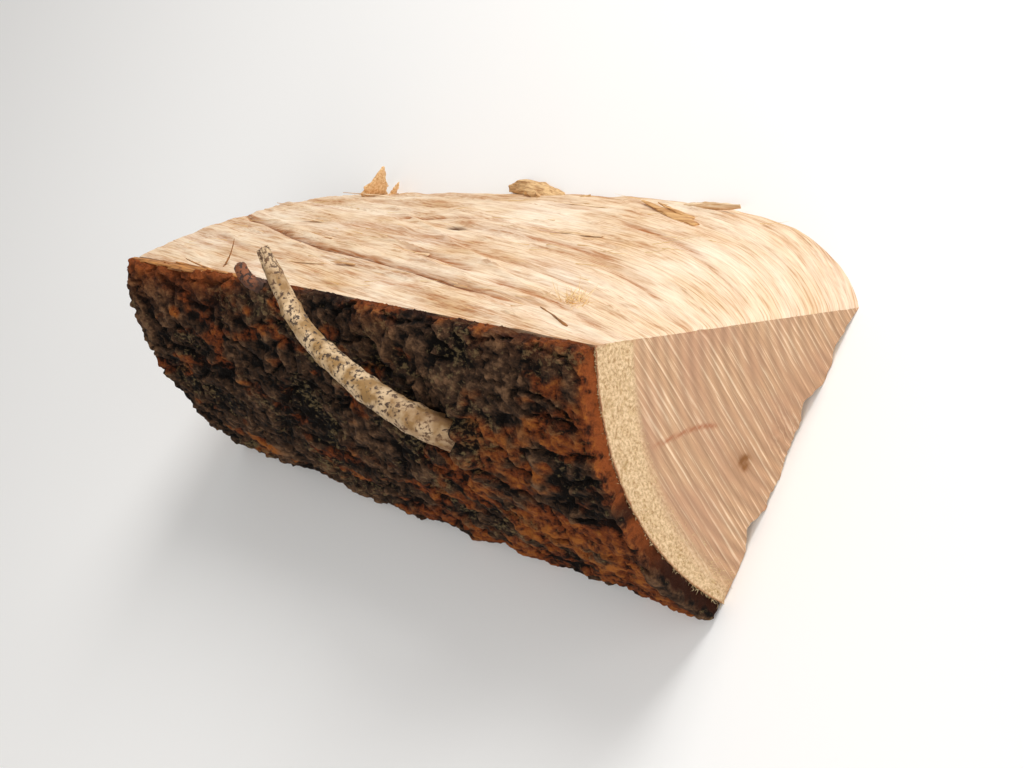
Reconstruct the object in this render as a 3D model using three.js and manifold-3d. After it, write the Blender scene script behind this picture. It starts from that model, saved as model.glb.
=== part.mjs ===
// A split log: a wedge of firewood with its bark, a side shoot and the stub of another.
// Millimetres, +Z up. The log lies on one split face, its length is along X, and the
// origin is under the middle of its box. +X is the end that shows the wider section.

import * as THREE from "three";
import { mergeVertices } from "three/addons/utils/BufferGeometryUtils.js";
import Module from "manifold-3d";

const wasm = await Module();
wasm.setup();

// Driving dimensions.
const LENGTH = 400; // between the two sawn ends
const WOOD_RADIUS = 129; // from the pith to the outside of the sapwood, at the +X end
const TAPER = 6; // what that radius loses over the length
const WEDGE = THREE.MathUtils.degToRad(56.5); // between the two split faces
const BARK_THICKNESS = 8.5;
const GAP = 0.3; // clearance between one piece and the next

const RIDGE_REACH = 45; // how far the split wanders past the pith
const RIDGE_RISE = 45; // length over which it does most of that, from the +X end
const RIDGE_RETURN = 18; // what it comes back by, at the far end
const FACE_CROWN = 7; // how far the upper split face swells at the far end

const OUT_OF_ROUND = 1.3; // slow swelling of the trunk
const BARK_RELIEF = 1.4; // height of the bark's plates over its cracks
const COLLAR_HEIGHT = 5; // swelling of the bark round the side shoot
const COLLAR_SPREAD = 17;

// How finely each stretch is divided.
const LENGTH_STEPS = 30;
const SPLIT_STEPS = 12;
const ARC_STEPS = 16;
const SHOOT_SIDES = 14;

// Side shoot: the middle of its base and the points it passes, as [distance from the
// +X end, across, height], with the pith of that end at [0, 0, 0].
const SHOOT_PATH = [
  [89, -100, 66],
  [97, -108, 77],
  [106, -110.5, 88],
  [126, -109, 97.5],
  [151, -103, 107.5],
  [180, -93, 118],
  [198, -79, 130],
  [209, -67, 140],
];
const SHOOT_RADIUS = { base: 7.2, middle: 5.6, tip: 2.6 };
const SHOOT_STEPS = 28;

const STUB_PATH = [
  [252, -70, 92],
  [256, -73, 104],
  [260, -73, 112],
  [264, -70, 119],
];
const STUB_RADIUS = { base: 3.8, middle: 3, tip: 1.9 };
const STUB_STEPS = 6;

/** A point at a radius and an angle round the pith, the angle from the lower split face. */
function aroundPith(radius, angle) {
  return new THREE.Vector2(-radius * Math.cos(angle), radius * Math.sin(angle));
}

/** How far the split runs past the pith at a distance from the +X end. */
function ridgeReach(distance) {
  const rise = RIDGE_REACH * (1 - Math.exp(-distance / RIDGE_RISE));
  return rise - RIDGE_RETURN * Math.pow(distance / LENGTH, 1.5);
}

/** Fraction by which every radius differs from that of a true cylinder. */
function trunkSwell(angle, distance) {
  const wave = Math.sin(2.3 * angle + distance / 75) + 0.5 * Math.sin(5 * angle - distance / 43);
  return (OUT_OF_ROUND * wave - (TAPER * distance) / LENGTH) / WOOD_RADIUS;
}

/** Height of the bark's outside above its mean: long plates, and a collar at the shoot. */
function barkRelief(angle, distance) {
  const across = angle * WOOD_RADIUS;
  const plates = Math.sin(across / 6.5 + 1.6 * Math.sin(distance / 38));
  const breaks = Math.sin(distance / 12 + 2 * Math.sin(across / 17));
  const [shootDistance, shootAcross, shootHeight] = SHOOT_PATH[1];
  const shootAngle = Math.atan2(shootHeight, -shootAcross);
  const away = Math.hypot(across - shootAngle * WOOD_RADIUS, distance - shootDistance);
  const collar = COLLAR_HEIGHT * Math.exp(-Math.pow(away / COLLAR_SPREAD, 2));
  return BARK_RELIEF * (0.6 * plates + 0.4 * breaks) + collar;
}

/** Moves a point of the plain wedge, in place, to where the grown and split log has it. */
function settle(point) {
  const distance = LENGTH - point.z;
  const radius = Math.hypot(point.x, point.y);
  const angle = radius > 0 ? Math.atan2(point.y, -point.x) : 0;
  const onBark = radius > WOOD_RADIUS + GAP + 1;
  const relief = onBark ? barkRelief(angle, distance) : 0;
  const grown = aroundPith(radius * (1 + trunkSwell(angle, distance)) + relief, angle);

  // The split faces pass the pith: the nearer the pith, the more a point moves with the ridge.
  const nearPith = Math.max(0, 1 - radius / WOOD_RADIUS);
  grown.x += nearPith * ridgeReach(distance);
  const crown = 4 * nearPith * (1 - nearPith) * FACE_CROWN * (distance / LENGTH) * (angle / WEDGE);
  const faceNormal = new THREE.Vector2(Math.sin(WEDGE), Math.cos(WEDGE));
  grown.addScaledVector(faceNormal, crown);
  point.set(grown.x, Math.max(0, grown.y), point.z);
}

/** Runs a section along the log, settles every point, and lays it along X. */
function alongTheLog(sectionPoints) {
  const section = new THREE.Shape(sectionPoints);
  const geometry = new THREE.ExtrudeGeometry(section, {
    depth: LENGTH,
    steps: LENGTH_STEPS,
    bevelEnabled: false,
  });
  const position = geometry.getAttribute("position");
  const point = new THREE.Vector3();
  for (let i = 0; i < position.count; i += 1) {
    settle(point.fromBufferAttribute(position, i));
    position.setXYZ(i, point.z - LENGTH, point.x, point.y);
  }
  return geometry;
}

/** The wedge from the pith out to a radius, as one outline. */
function wedgeOutline(radius) {
  const outline = [];
  for (let i = 0; i < SPLIT_STEPS; i += 1) {
    outline.push(aroundPith((radius * i) / SPLIT_STEPS, WEDGE));
  }
  for (let i = 0; i < ARC_STEPS; i += 1) {
    outline.push(aroundPith(radius, WEDGE * (1 - i / ARC_STEPS)));
  }
  for (let i = 0; i < SPLIT_STEPS; i += 1) {
    outline.push(aroundPith(radius * (1 - i / SPLIT_STEPS), 0));
  }
  return outline;
}

/** The band of bark between two radii, as one outline. */
function barkOutline(inner, outer) {
  const outline = [];
  for (let i = 0; i <= ARC_STEPS; i += 1) {
    outline.push(aroundPith(outer, WEDGE * (1 - i / ARC_STEPS)));
  }
  for (let i = 0; i <= ARC_STEPS; i += 1) {
    outline.push(aroundPith(inner, (WEDGE * i) / ARC_STEPS));
  }
  return outline;
}

/** A tapering round stem along a smooth curve, all of it thicker by an allowance. */
function stem(path, radii, steps, allowance) {
  const curve = new THREE.CatmullRomCurve3(
    path.map(([distance, across, height]) => new THREE.Vector3(-distance, across, height)),
  );
  const frames = curve.computeFrenetFrames(steps);
  const geometry = new THREE.CylinderGeometry(1, 1, 1, SHOOT_SIDES, steps);
  const position = geometry.getAttribute("position");
  for (let i = 0; i < position.count; i += 1) {
    const along = position.getY(i) + 0.5;
    const frame = Math.round(along * steps);
    const towardsMiddle = Math.min(1, along * 2);
    const towardsTip = Math.max(0, along * 2 - 1);
    const radius =
      THREE.MathUtils.lerp(radii.base, radii.middle, towardsMiddle) +
      (radii.tip - radii.middle) * towardsTip +
      allowance;
    const point = curve.getPointAt(along);
    point.addScaledVector(frames.normals[frame], radius * position.getX(i));
    point.addScaledVector(frames.binormals[frame], -radius * position.getZ(i));
    position.setXYZ(i, point.x, point.y, point.z);
  }
  return geometry;
}

/** A closed geometry as a solid that can be joined and cut. */
function solidOf(geometry) {
  const bare = geometry.clone();
  bare.deleteAttribute("normal");
  bare.deleteAttribute("uv");
  const merged = mergeVertices(bare, 1e-4);
  return new wasm.Manifold(
    new wasm.Mesh({
      numProp: 3,
      vertProperties: new Float32Array(merged.getAttribute("position").array),
      triVerts: new Uint32Array(merged.getIndex().array),
    }),
  );
}

/** A solid as a named mesh with its own material. */
function meshOf(name, solid, colour, roughness) {
  const { vertProperties, triVerts } = solid.getMesh();
  const geometry = new THREE.BufferGeometry();
  geometry.setAttribute("position", new THREE.BufferAttribute(vertProperties, 3));
  geometry.setIndex(new THREE.BufferAttribute(triVerts, 1));
  geometry.computeVertexNormals();
  const material = new THREE.MeshStandardMaterial({ color: colour, roughness, metalness: 0 });
  const mesh = new THREE.Mesh(geometry, material);
  mesh.name = name;
  return mesh;
}

const wood = solidOf(alongTheLog(wedgeOutline(WOOD_RADIUS)));
const woodClearance = solidOf(alongTheLog(wedgeOutline(WOOD_RADIUS + GAP)));
const barkBand = solidOf(
  alongTheLog(barkOutline(WOOD_RADIUS + GAP, WOOD_RADIUS + BARK_THICKNESS)),
);

// The shoot and the stub grow out of the wood, each through its own hole in the bark.
const shoot = solidOf(stem(SHOOT_PATH, SHOOT_RADIUS, SHOOT_STEPS, 0)).subtract(woodClearance);
const shootHole = solidOf(stem(SHOOT_PATH, SHOOT_RADIUS, SHOOT_STEPS, GAP));
const stub = solidOf(stem(STUB_PATH, STUB_RADIUS, STUB_STEPS, 0)).subtract(woodClearance);
const stubHole = solidOf(stem(STUB_PATH, STUB_RADIUS, STUB_STEPS, GAP));
const bark = barkBand.subtract(shootHole).subtract(stubHole);

const log = new THREE.Group();
log.add(
  meshOf("wood", wood, 0xe8c9a0, 0.8),
  meshOf("bark", bark, 0x3a2a20, 0.95),
  meshOf("side_shoot", shoot, 0xa08a72, 0.85),
  meshOf("shoot_stub", stub, 0x5a3a24, 0.9),
);

// The origin goes under the middle of the whole log's box.
const box = new THREE.Box3().setFromObject(log);
const middle = box.getCenter(new THREE.Vector3());
log.position.set(-middle.x, -middle.y, -box.min.z);

export default log;
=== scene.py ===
import logging
import math
from dataclasses import dataclass
from enum import Enum
from typing import Any

import bmesh
import bpy
import numpy as np
from mathutils import Matrix, Vector


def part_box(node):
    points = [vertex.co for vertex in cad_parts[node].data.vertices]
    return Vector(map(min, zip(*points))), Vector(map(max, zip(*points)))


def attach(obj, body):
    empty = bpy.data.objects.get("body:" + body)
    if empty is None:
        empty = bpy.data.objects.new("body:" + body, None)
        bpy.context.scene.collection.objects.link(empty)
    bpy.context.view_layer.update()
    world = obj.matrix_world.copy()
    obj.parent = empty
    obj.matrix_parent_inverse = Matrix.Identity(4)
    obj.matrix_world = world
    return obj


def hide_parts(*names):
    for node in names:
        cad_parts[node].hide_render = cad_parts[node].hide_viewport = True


# A split log: a wedge of firewood with its bark, a dead side shoot, the broken stub of
# another, and the splinters, loose fibres and saw felt that splitting and sawing leave.
# It lies on its lower split face, with its front sawn end at +X and its bark at -Y.

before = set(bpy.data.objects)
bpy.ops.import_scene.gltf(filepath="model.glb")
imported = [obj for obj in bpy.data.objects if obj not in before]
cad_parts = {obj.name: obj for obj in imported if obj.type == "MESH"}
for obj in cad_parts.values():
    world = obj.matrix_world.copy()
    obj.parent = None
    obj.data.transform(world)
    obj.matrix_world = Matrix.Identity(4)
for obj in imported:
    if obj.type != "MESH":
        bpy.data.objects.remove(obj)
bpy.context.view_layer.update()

# Shapes are worked out in millimetres and put into Blender in metres.
MM = 0.001
LOG = logging.getLogger("split_log")


# ----- Small tools: random relief, meshes and nodes -----


class Noise:
    """Smooth random values over a plane, from a square of random numbers that repeats."""

    SIDE = 256

    def __init__(self, seed: int) -> None:
        """Fills the square.

        Args:
            seed: which square of numbers to use; the same seed gives the same relief.
        """
        self.square = np.random.default_rng(seed).random((self.SIDE, self.SIDE)) * 2 - 1

    def at(self, x: np.ndarray, y: np.ndarray) -> np.ndarray:
        """The random square read between its points with a smooth S-curve each way.

        Args:
            x: first coordinate, one unit per random number.
            y: second coordinate, in the same unit.

        Returns:
            Values from -1 to 1, in the shape of x and y.
        """
        column, row = np.floor(x).astype(int), np.floor(y).astype(int)
        across, down = x - column, y - row
        across = across * across * (3 - 2 * across)
        down = down * down * (3 - 2 * down)
        side = self.SIDE
        here, right = column % side, (column + 1) % side
        top, bottom = row % side, (row + 1) % side
        upper = self.square[here, top] * (1 - across) + self.square[right, top] * across
        lower = self.square[here, bottom] * (1 - across) + self.square[right, bottom] * across
        return upper * (1 - down) + lower * down

    def layered(self, x: np.ndarray, y: np.ndarray, layers: int, keep: float = 0.5) -> np.ndarray:
        """The sum of several readings, each twice as fine and lower than the one before.

        Args:
            x: first coordinate.
            y: second coordinate.
            layers: how many readings are added.
            keep: height of each reading next to the one before.

        Returns:
            Values of about -1 to 1.
        """
        total, height = np.zeros(np.broadcast(x, y).shape), 1.0
        for layer in range(layers):
            scale = 2.0**layer
            total = total + height * self.at(x * scale + 17.3 * layer, y * scale + 9.1 * layer)
            height *= keep
        return total


def smooth_step(value: np.ndarray, low: float, high: float) -> np.ndarray:
    """Goes from 0 at low to 1 at high on an S-curve.

    Args:
        value: what is tested.
        low: where the step starts.
        high: where it ends.

    Returns:
        Values from 0 to 1.
    """
    share = np.clip((value - low) / (high - low), 0, 1)
    return share * share * (3 - 2 * share)


def ledges(value: np.ndarray, steps: float, edge: float) -> np.ndarray:
    """Turns a smooth relief into flat steps with steep edges, as torn layers have.

    Args:
        value: the smooth relief.
        steps: steps per unit of relief.
        edge: share of each step that its slope takes.

    Returns:
        The stepped relief, in the same unit.
    """
    scaled = value * steps
    whole = np.floor(scaled)
    return (whole + smooth_step(scaled - whole, 1 - edge, 1)) / steps


def bump_at(
    x: np.ndarray, y: np.ndarray, centre: tuple[float, float], spread: tuple[float, float]
) -> np.ndarray:
    """A bell-shaped hill: e to the minus squared distance, each way over its own spread.

    Args:
        x: first coordinate.
        y: second coordinate.
        centre: top of the hill.
        spread: distance each way at which the height has fallen to e**-1.

    Returns:
        Values from 0 to 1.
    """
    return np.exp(-(((x - centre[0]) / spread[0]) ** 2) - ((y - centre[1]) / spread[1]) ** 2)


def grid_quads(index: np.ndarray, wrap: bool = False) -> np.ndarray:
    """The four-cornered faces between the neighbours of a grid of vertex numbers.

    Args:
        index: vertex numbers, rows by columns.
        wrap: whether the last column joins the first.

    Returns:
        One row of four vertex numbers per face.
    """
    if wrap:
        index = np.concatenate([index, index[:, :1]], axis=1)
    corners = (index[:-1, :-1], index[1:, :-1], index[1:, 1:], index[:-1, 1:])
    return np.stack(corners, axis=-1).reshape(-1, 4)


def surface_normals(points: np.ndarray) -> np.ndarray:
    """Unit normals of a grid of points, from the cross product of its two slopes.

    Args:
        points: rows by columns by three.

    Returns:
        Normals in the same shape.
    """
    normal = np.cross(np.gradient(points, axis=0), np.gradient(points, axis=1))
    return normal / np.maximum(np.linalg.norm(normal, axis=-1, keepdims=True), 1e-9)


def mesh_object(
    name: str,
    points: np.ndarray,
    faces: list[Any],
    attributes: dict[str, np.ndarray] | None = None,
    sharp_angle: float = 50.0,
) -> bpy.types.Object:
    """Makes a closed mesh object at the origin, with its faces pointing out.

    Args:
        name: the object's name.
        points: vertex positions in millimetres, one row each.
        faces: arrays of vertex numbers, one row per face; a number that comes twice in a
            face, as at a pole, counts once.
        attributes: one value or three per vertex, by name.
        sharp_angle: edges bent by more than this many degrees are drawn sharp.

    Returns:
        The object, linked to the scene.
    """
    corners = []
    for block in faces:
        twice = (block == np.roll(block, -1, axis=1)).any(axis=1)
        corners += block[~twice].tolist()
        corners += [list(dict.fromkeys(face)) for face in block[twice].tolist()]
    mesh = bpy.data.meshes.new(name)
    mesh.from_pydata((points * MM).tolist(), [], corners)
    for label, values in (attributes or {}).items():
        kind = "FLOAT" if values.ndim == 1 else "FLOAT_VECTOR"
        made = mesh.attributes.new(label, kind, "POINT")
        field_name = "value" if values.ndim == 1 else "vector"
        made.data.foreach_set(field_name, values.astype(np.float32).ravel())
    shaped = bmesh.new()
    shaped.from_mesh(mesh)
    bmesh.ops.recalc_face_normals(shaped, faces=shaped.faces)
    shaped.to_mesh(mesh)
    shaped.free()
    mesh.shade_smooth()
    mesh.set_sharp_from_angle(angle=math.radians(sharp_angle))
    made_object = bpy.data.objects.new(name, mesh)
    bpy.context.scene.collection.objects.link(made_object)
    return made_object


def linear(colour: str) -> tuple[float, float, float, float]:
    """A hex sRGB colour as the linear values that a shader socket takes.

    Args:
        colour: six hex digits after a hash sign.

    Returns:
        Red, green, blue and an alpha of 1.
    """
    parts = [int(colour[i : i + 2], 16) / 255 for i in (1, 3, 5)]
    red, green, blue = (
        p / 12.92 if p <= 0.04045 else ((p + 0.055) / 1.055) ** 2.4 for p in parts
    )
    return red, green, blue, 1.0


def add_node(
    tree: bpy.types.NodeTree,
    kind: str,
    inputs: dict[str | int, Any] | None = None,
    stops: list[tuple[float, str | float]] | None = None,
    **settings: Any,
) -> bpy.types.Node:
    """Adds one node with its settings, values and links.

    Args:
        tree: the material's node tree.
        kind: the node's type name.
        inputs: socket name or number to a value, a hex colour, or the socket linked into it.
        stops: for a colour ramp, each position with its hex colour or grey value.
        **settings: the node's own properties.

    Returns:
        The node.
    """
    made = tree.nodes.new(kind)
    for name, value in settings.items():
        setattr(made, name, value)
    for socket, value in (inputs or {}).items():
        if isinstance(value, bpy.types.NodeSocket):
            tree.links.new(value, made.inputs[socket])
        else:
            plain = linear(value) if isinstance(value, str) else value
            made.inputs[socket].default_value = plain
    if stops:
        ramp = made.color_ramp.elements
        while len(ramp) < len(stops):
            ramp.new(1.0)
        for element, (position, colour) in zip(ramp, stops):
            element.position = position
            element.color = linear(colour) if isinstance(colour, str) else (colour,) * 3 + (1.0,)
    return made


def new_material(name: str) -> tuple[bpy.types.Material, bpy.types.NodeTree, bpy.types.Node]:
    """An empty material with its main shader linked to its output.

    Args:
        name: the material's name.

    Returns:
        The material, its node tree and its Principled shader.
    """
    material = bpy.data.materials.new(name)
    material.use_nodes = True
    tree = material.node_tree
    return material, tree, tree.nodes["Principled BSDF"]


# ----- The log's own shape, which every piece is built on -----


@dataclass
class Trunk:
    """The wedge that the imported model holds, as formulas in millimetres.

    A place on the log is its distance from the front sawn end, its radius from the pith and
    its angle round the pith, counted from the face that the log lies on.
    """

    length: float = 400.0
    front: float = 200.0  # where the front sawn end is along X
    pith_across: float = 50.5  # where the pith is along Y
    wood_radius: float = 129.0
    taper: float = 6.0  # what the radius loses over the length
    wedge: float = math.radians(56.5)  # between the split faces
    bark_thickness: float = 8.5
    ridge_reach: float = 45.0  # how far the split wanders past the pith
    ridge_rise: float = 45.0  # length over which it does most of that
    ridge_return: float = 18.0  # what it comes back by at the far end
    face_crown: float = 7.0  # how far the upper split face swells at the far end
    out_of_round: float = 1.3

    @classmethod
    def from_frame(cls) -> "Trunk":
        """Reads the length and the pith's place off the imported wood.

        Returns:
            The trunk in its place.
        """
        low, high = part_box("wood")
        trunk = cls(length=(high.x - low.x) / MM, front=high.x / MM)
        along = np.linspace(0, trunk.length, 31)
        trunk.pith_across = high.y / MM - float(trunk.ridge(along).max())
        return trunk

    def ridge(self, distance: np.ndarray) -> np.ndarray:
        """How far the split runs past the pith: a quick rise, then a slow return.

        Args:
            distance: from the front end.

        Returns:
            Reach past the pith, in millimetres.
        """
        rise = self.ridge_reach * (1 - np.exp(-distance / self.ridge_rise))
        return rise - self.ridge_return * (np.maximum(distance, 0) / self.length) ** 1.5

    def place(self, distance: np.ndarray, radius: np.ndarray, angle: np.ndarray) -> np.ndarray:
        """A point of the log: a circle round the pith, swollen and tapered a little, whose
        points are carried towards the ridge by their nearness to the pith, and whose upper
        face is crowned towards the far end.

        Args:
            distance: from the front end.
            radius: from the pith, before swelling.
            angle: round the pith, from the lower split face.

        Returns:
            Points, with a last axis of three.
        """
        distance, radius, angle = np.broadcast_arrays(distance, radius, angle)
        wave = np.sin(2.3 * angle + distance / 75) + 0.5 * np.sin(5 * angle - distance / 43)
        swell = (self.out_of_round * wave - self.taper * distance / self.length) / self.wood_radius
        grown = radius * (1 + swell)
        near_pith = np.maximum(0, 1 - radius / self.wood_radius)
        crown = 4 * near_pith * (1 - near_pith) * self.face_crown
        crown = crown * (distance / self.length) * (angle / self.wedge)
        across = -grown * np.cos(angle) + near_pith * self.ridge(distance)
        across = across + crown * math.sin(self.wedge) + self.pith_across
        height = grown * np.sin(angle) + crown * math.cos(self.wedge)
        return np.stack([self.front - distance, across, height], axis=-1)


# ----- Finishes -----


class GrainSide(Enum):
    """Which split face a stretch of torn wood is on, as its attribute holds it."""

    UPPER = 0.0
    LOWER = 500.0


@dataclass(frozen=True)
class RivenHardwood:
    """Freshly split hardwood: cream, with long torn fibres, tan streaks and orange stains.

    Split wood is matt and pale because every broken fibre end scatters light; what colour
    it has follows the fibres, so all of it is read along the grain.
    """

    cream: str = "#EFD5B4"
    pale: str = "#F8E6CD"
    tan: str = "#D8AE79"
    stain: str = "#AC6220"
    # painted shade in the pit and the middles of the most stained grooves, and the darker brown of the side
    # under the bark
    shade_and_under_bark_brown: str = "#5E3417"
    fibre_shade: str = "#C79A6A"
    fibre_mm: float = 0.95  # a fibre bundle is finer; this is as coarse as shows in a render
    streak_mm: float = 3.2
    patch_mm: float = 26.0
    relief_mm: float = 0.6

    def build(self) -> bpy.types.Material:
        """Makes the material: noise stretched along the grain at three widths, and the
        stains, the painted shade in the pit and groove middles, and the darker brown of the side
        under the bark, that the mesh's attributes hold.

        Returns:
            The material.
        """
        material, tree, shader = new_material("riven_hardwood")
        grain = add_node(tree, "ShaderNodeAttribute", attribute_name="grain").outputs["Vector"]
        stained, painted_shade_and_dark_wood = (
            add_node(tree, "ShaderNodeAttribute", attribute_name=label).outputs["Fac"]
            for label in ("stain", "painted_shade_and_dark_wood")
        )
        layers = {}
        for label, width, stretch in (
            ("fibre", self.fibre_mm, 22.0),
            ("streak", self.streak_mm, 12.0),
            ("patch", self.patch_mm, 3.0),
        ):
            scaled = add_node(
                tree,
                "ShaderNodeVectorMath",
                {0: grain, 1: (1 / (width * stretch), 1 / width, 1.0)},
                operation="MULTIPLY",
            )
            layers[label] = add_node(
                tree,
                "ShaderNodeTexNoise",
                {"Vector": scaled.outputs[0], "Scale": 1.0, "Detail": 3.0, "Roughness": 0.6},
            ).outputs["Fac"]
        ground = add_node(
            tree,
            "ShaderNodeValToRGB",
            {"Fac": layers["patch"]},
            stops=[(0.32, self.pale), (0.52, self.cream), (0.8, self.tan)],
        )
        streak = add_node(
            tree, "ShaderNodeValToRGB", {"Fac": layers["streak"]}, stops=[(0.5, 0.0), (0.72, 0.36)]
        )
        line = add_node(
            tree,
            "ShaderNodeValToRGB",
            {"Fac": layers["fibre"]},
            stops=[(0.34, self.fibre_shade), (0.55, "#FFFFFF")],
        )
        line_share = add_node(
            tree,
            "ShaderNodeMapRange",
            {"Value": layers["patch"], "From Min": 0.38, "From Max": 0.62, "To Min": 0.3, "To Max": 0.8},
        )
        broken = add_node(
            tree,
            "ShaderNodeMapRange",
            {"Value": layers["fibre"], "From Min": 0.35, "From Max": 0.6, "To Min": 1.25, "To Max": 0.5},
        )
        stain_share = add_node(
            tree, "ShaderNodeMath", {0: stained, 1: broken.outputs[0]}, operation="MULTIPLY", use_clamp=True
        )
        colour = ground.outputs[0]
        for share, coat, blend in (
            (streak.outputs[0], self.tan, "MIX"),
            (line_share.outputs[0], line.outputs[0], "MULTIPLY"),
            (stain_share.outputs[0], self.stain, "MIX"),
            # painted shade in the pit and the groove middles, and the darker brown of the side under the
            # bark
            (painted_shade_and_dark_wood, self.shade_and_under_bark_brown, "MIX"),
        ):
            mixed = {0: share, 6: colour, 7: coat}
            colour = add_node(
                tree, "ShaderNodeMix", mixed, data_type="RGBA", blend_type=blend
            ).outputs[2]
        tree.links.new(colour, shader.inputs["Base Color"])
        relief = add_node(
            tree,
            "ShaderNodeMath",
            {0: layers["fibre"], 1: 1.6, 2: layers["streak"]},
            operation="MULTIPLY_ADD",
        )
        bump = add_node(
            tree,
            "ShaderNodeBump",
            {"Height": relief.outputs[0], "Distance": self.relief_mm * MM, "Strength": 0.75},
        )
        tree.links.new(bump.outputs[0], shader.inputs["Normal"])
        shader.inputs["Roughness"].default_value = 0.78
        shader.inputs["IOR"].default_value = 1.45
        return material


@dataclass(frozen=True)
class SawnEndGrain:
    """Chainsaw-cut end grain: pinkish-tan heartwood with straight cutter ridges, and a pale
    yellow band of sapwood with a felt of torn fibres.

    A chain leaves parallel ridges; their crests carry a painted highlight and the lines
    between them painted shade. Cut fibres are darker than split wood, because light goes into
    their open ends.
    """

    heart: str = "#C69D79"
    heart_pink: str = "#BA8C70"
    # the next two: painted highlight on the crests of the cutter ridges, and painted shade between them
    painted_ridge_highlight: str = "#E8CAA8"
    painted_ridge_shade: str = "#B58C6A"
    sap: str = "#E9CBA2"
    sap_dark: str = "#A98355"
    ray: str = "#A4623F"
    knot: str = "#8A5A30"
    ridge_mm: float = 2.1
    scratch_mm: float = 1.15
    ring_mm: float = 5.5
    cloud_mm: float = 26.0
    felt_mm: float = 1.4
    scratch_run_mm: float = 48.0
    ridge_wander: float = 9.0  # radians by which the scratches shift the ridges
    relief_mm: float = 0.5

    def build(self) -> bpy.types.Material:
        """Makes the material on the cut's own coordinates, which the mesh holds: across the
        ridges, along them, and the radius from the pith.

        Returns:
            The material.
        """
        material, tree, shader = new_material("sawn_end_grain")
        cut = add_node(tree, "ShaderNodeAttribute", attribute_name="cut").outputs["Vector"]
        parts = add_node(tree, "ShaderNodeSeparateXYZ", {0: cut})
        across, radius = parts.outputs[0], parts.outputs[2]
        sapwood, stained, painted_shade_and_dark_wood = (
            add_node(tree, "ShaderNodeAttribute", attribute_name=label).outputs["Fac"]
            for label in ("sapwood", "stain", "painted_shade_and_dark_wood")
        )
        stretched = add_node(
            tree,
            "ShaderNodeVectorMath",
            {0: cut, 1: (1 / self.scratch_mm, 1 / self.scratch_run_mm, 0)},
            operation="MULTIPLY",
        )
        scratches = add_node(
            tree,
            "ShaderNodeTexNoise",
            {"Vector": stretched.outputs[0], "Scale": 1.0, "Detail": 4.0, "Roughness": 0.7},
        )
        phase = add_node(
            tree,
            "ShaderNodeMath",
            {0: scratches.outputs["Fac"], 1: self.ridge_wander},
            operation="MULTIPLY",
        )
        wave = add_node(
            tree,
            "ShaderNodeMath",
            {0: across, 1: 2 * math.pi / self.ridge_mm, 2: phase.outputs[0]},
            operation="MULTIPLY_ADD",
        )
        ridges = add_node(tree, "ShaderNodeMath", {0: wave.outputs[0]}, operation="SINE")
        ridge_share = add_node(
            tree,
            "ShaderNodeMath",
            {0: ridges.outputs[0], 1: 0.08, 2: scratches.outputs["Fac"]},
            operation="MULTIPLY_ADD",
        )
        # painted highlight along the crests of the cutter ridges and painted shade between them, over the
        # heartwood's colour
        cut_colour = add_node(
            tree,
            "ShaderNodeValToRGB",
            {"Fac": ridge_share.outputs[0]},
            stops=[
                (0.34, self.painted_ridge_shade),
                (0.47, self.heart),
                (0.55, self.heart),
                (0.64, self.painted_ridge_highlight),
            ],
        )
        cloud = add_node(
            tree, "ShaderNodeTexNoise", {"Vector": cut, "Scale": 1 / self.cloud_mm, "Detail": 3.0}
        )
        cloud_share = add_node(
            tree, "ShaderNodeValToRGB", {"Fac": cloud.outputs["Fac"]}, stops=[(0.42, 0.0), (0.66, 0.5)]
        )
        ring_wave = add_node(
            tree,
            "ShaderNodeMath",
            {0: radius, 1: 2 * math.pi / self.ring_mm, 2: cloud.outputs["Fac"]},
            operation="MULTIPLY_ADD",
        )
        ring = add_node(tree, "ShaderNodeMath", {0: ring_wave.outputs[0]}, operation="SINE")
        ring_tone = add_node(
            tree,
            "ShaderNodeMapRange",
            {"Value": ring.outputs[0], "From Min": -1, "From Max": 1, "To Min": 0.84, "To Max": 1.04},
        )
        felt = add_node(
            tree,
            "ShaderNodeTexNoise",
            {"Vector": cut, "Scale": 1 / self.felt_mm, "Detail": 4.0, "Roughness": 0.75},
        )
        sap_colour = add_node(
            tree,
            "ShaderNodeValToRGB",
            {"Fac": felt.outputs["Fac"]},
            stops=[(0.34, self.sap_dark), (0.6, self.sap)],
        )
        colour = cut_colour.outputs[0]
        for share, coat, blend in (
            (cloud_share.outputs[0], self.heart_pink, "MIX"),
            (1.0, ring_tone.outputs[0], "MULTIPLY"),
            (sapwood, sap_colour.outputs[0], "MIX"),
            (stained, self.ray, "MIX"),
            (painted_shade_and_dark_wood, self.knot, "MIX"),
        ):
            mixed = {0: share, 6: colour, 7: coat}
            colour = add_node(
                tree, "ShaderNodeMix", mixed, data_type="RGBA", blend_type=blend
            ).outputs[2]
        tree.links.new(colour, shader.inputs["Base Color"])
        relief = add_node(
            tree,
            "ShaderNodeMath",
            {0: ridge_share.outputs[0], 1: 1.2, 2: felt.outputs["Fac"]},
            operation="MULTIPLY_ADD",
        )
        bump = add_node(
            tree,
            "ShaderNodeBump",
            {"Height": relief.outputs[0], "Distance": self.relief_mm * MM, "Strength": 0.8},
        )
        tree.links.new(bump.outputs[0], shader.inputs["Normal"])
        shader.inputs["Roughness"].default_value = 0.85
        shader.inputs["IOR"].default_value = 1.45
        return material


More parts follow.
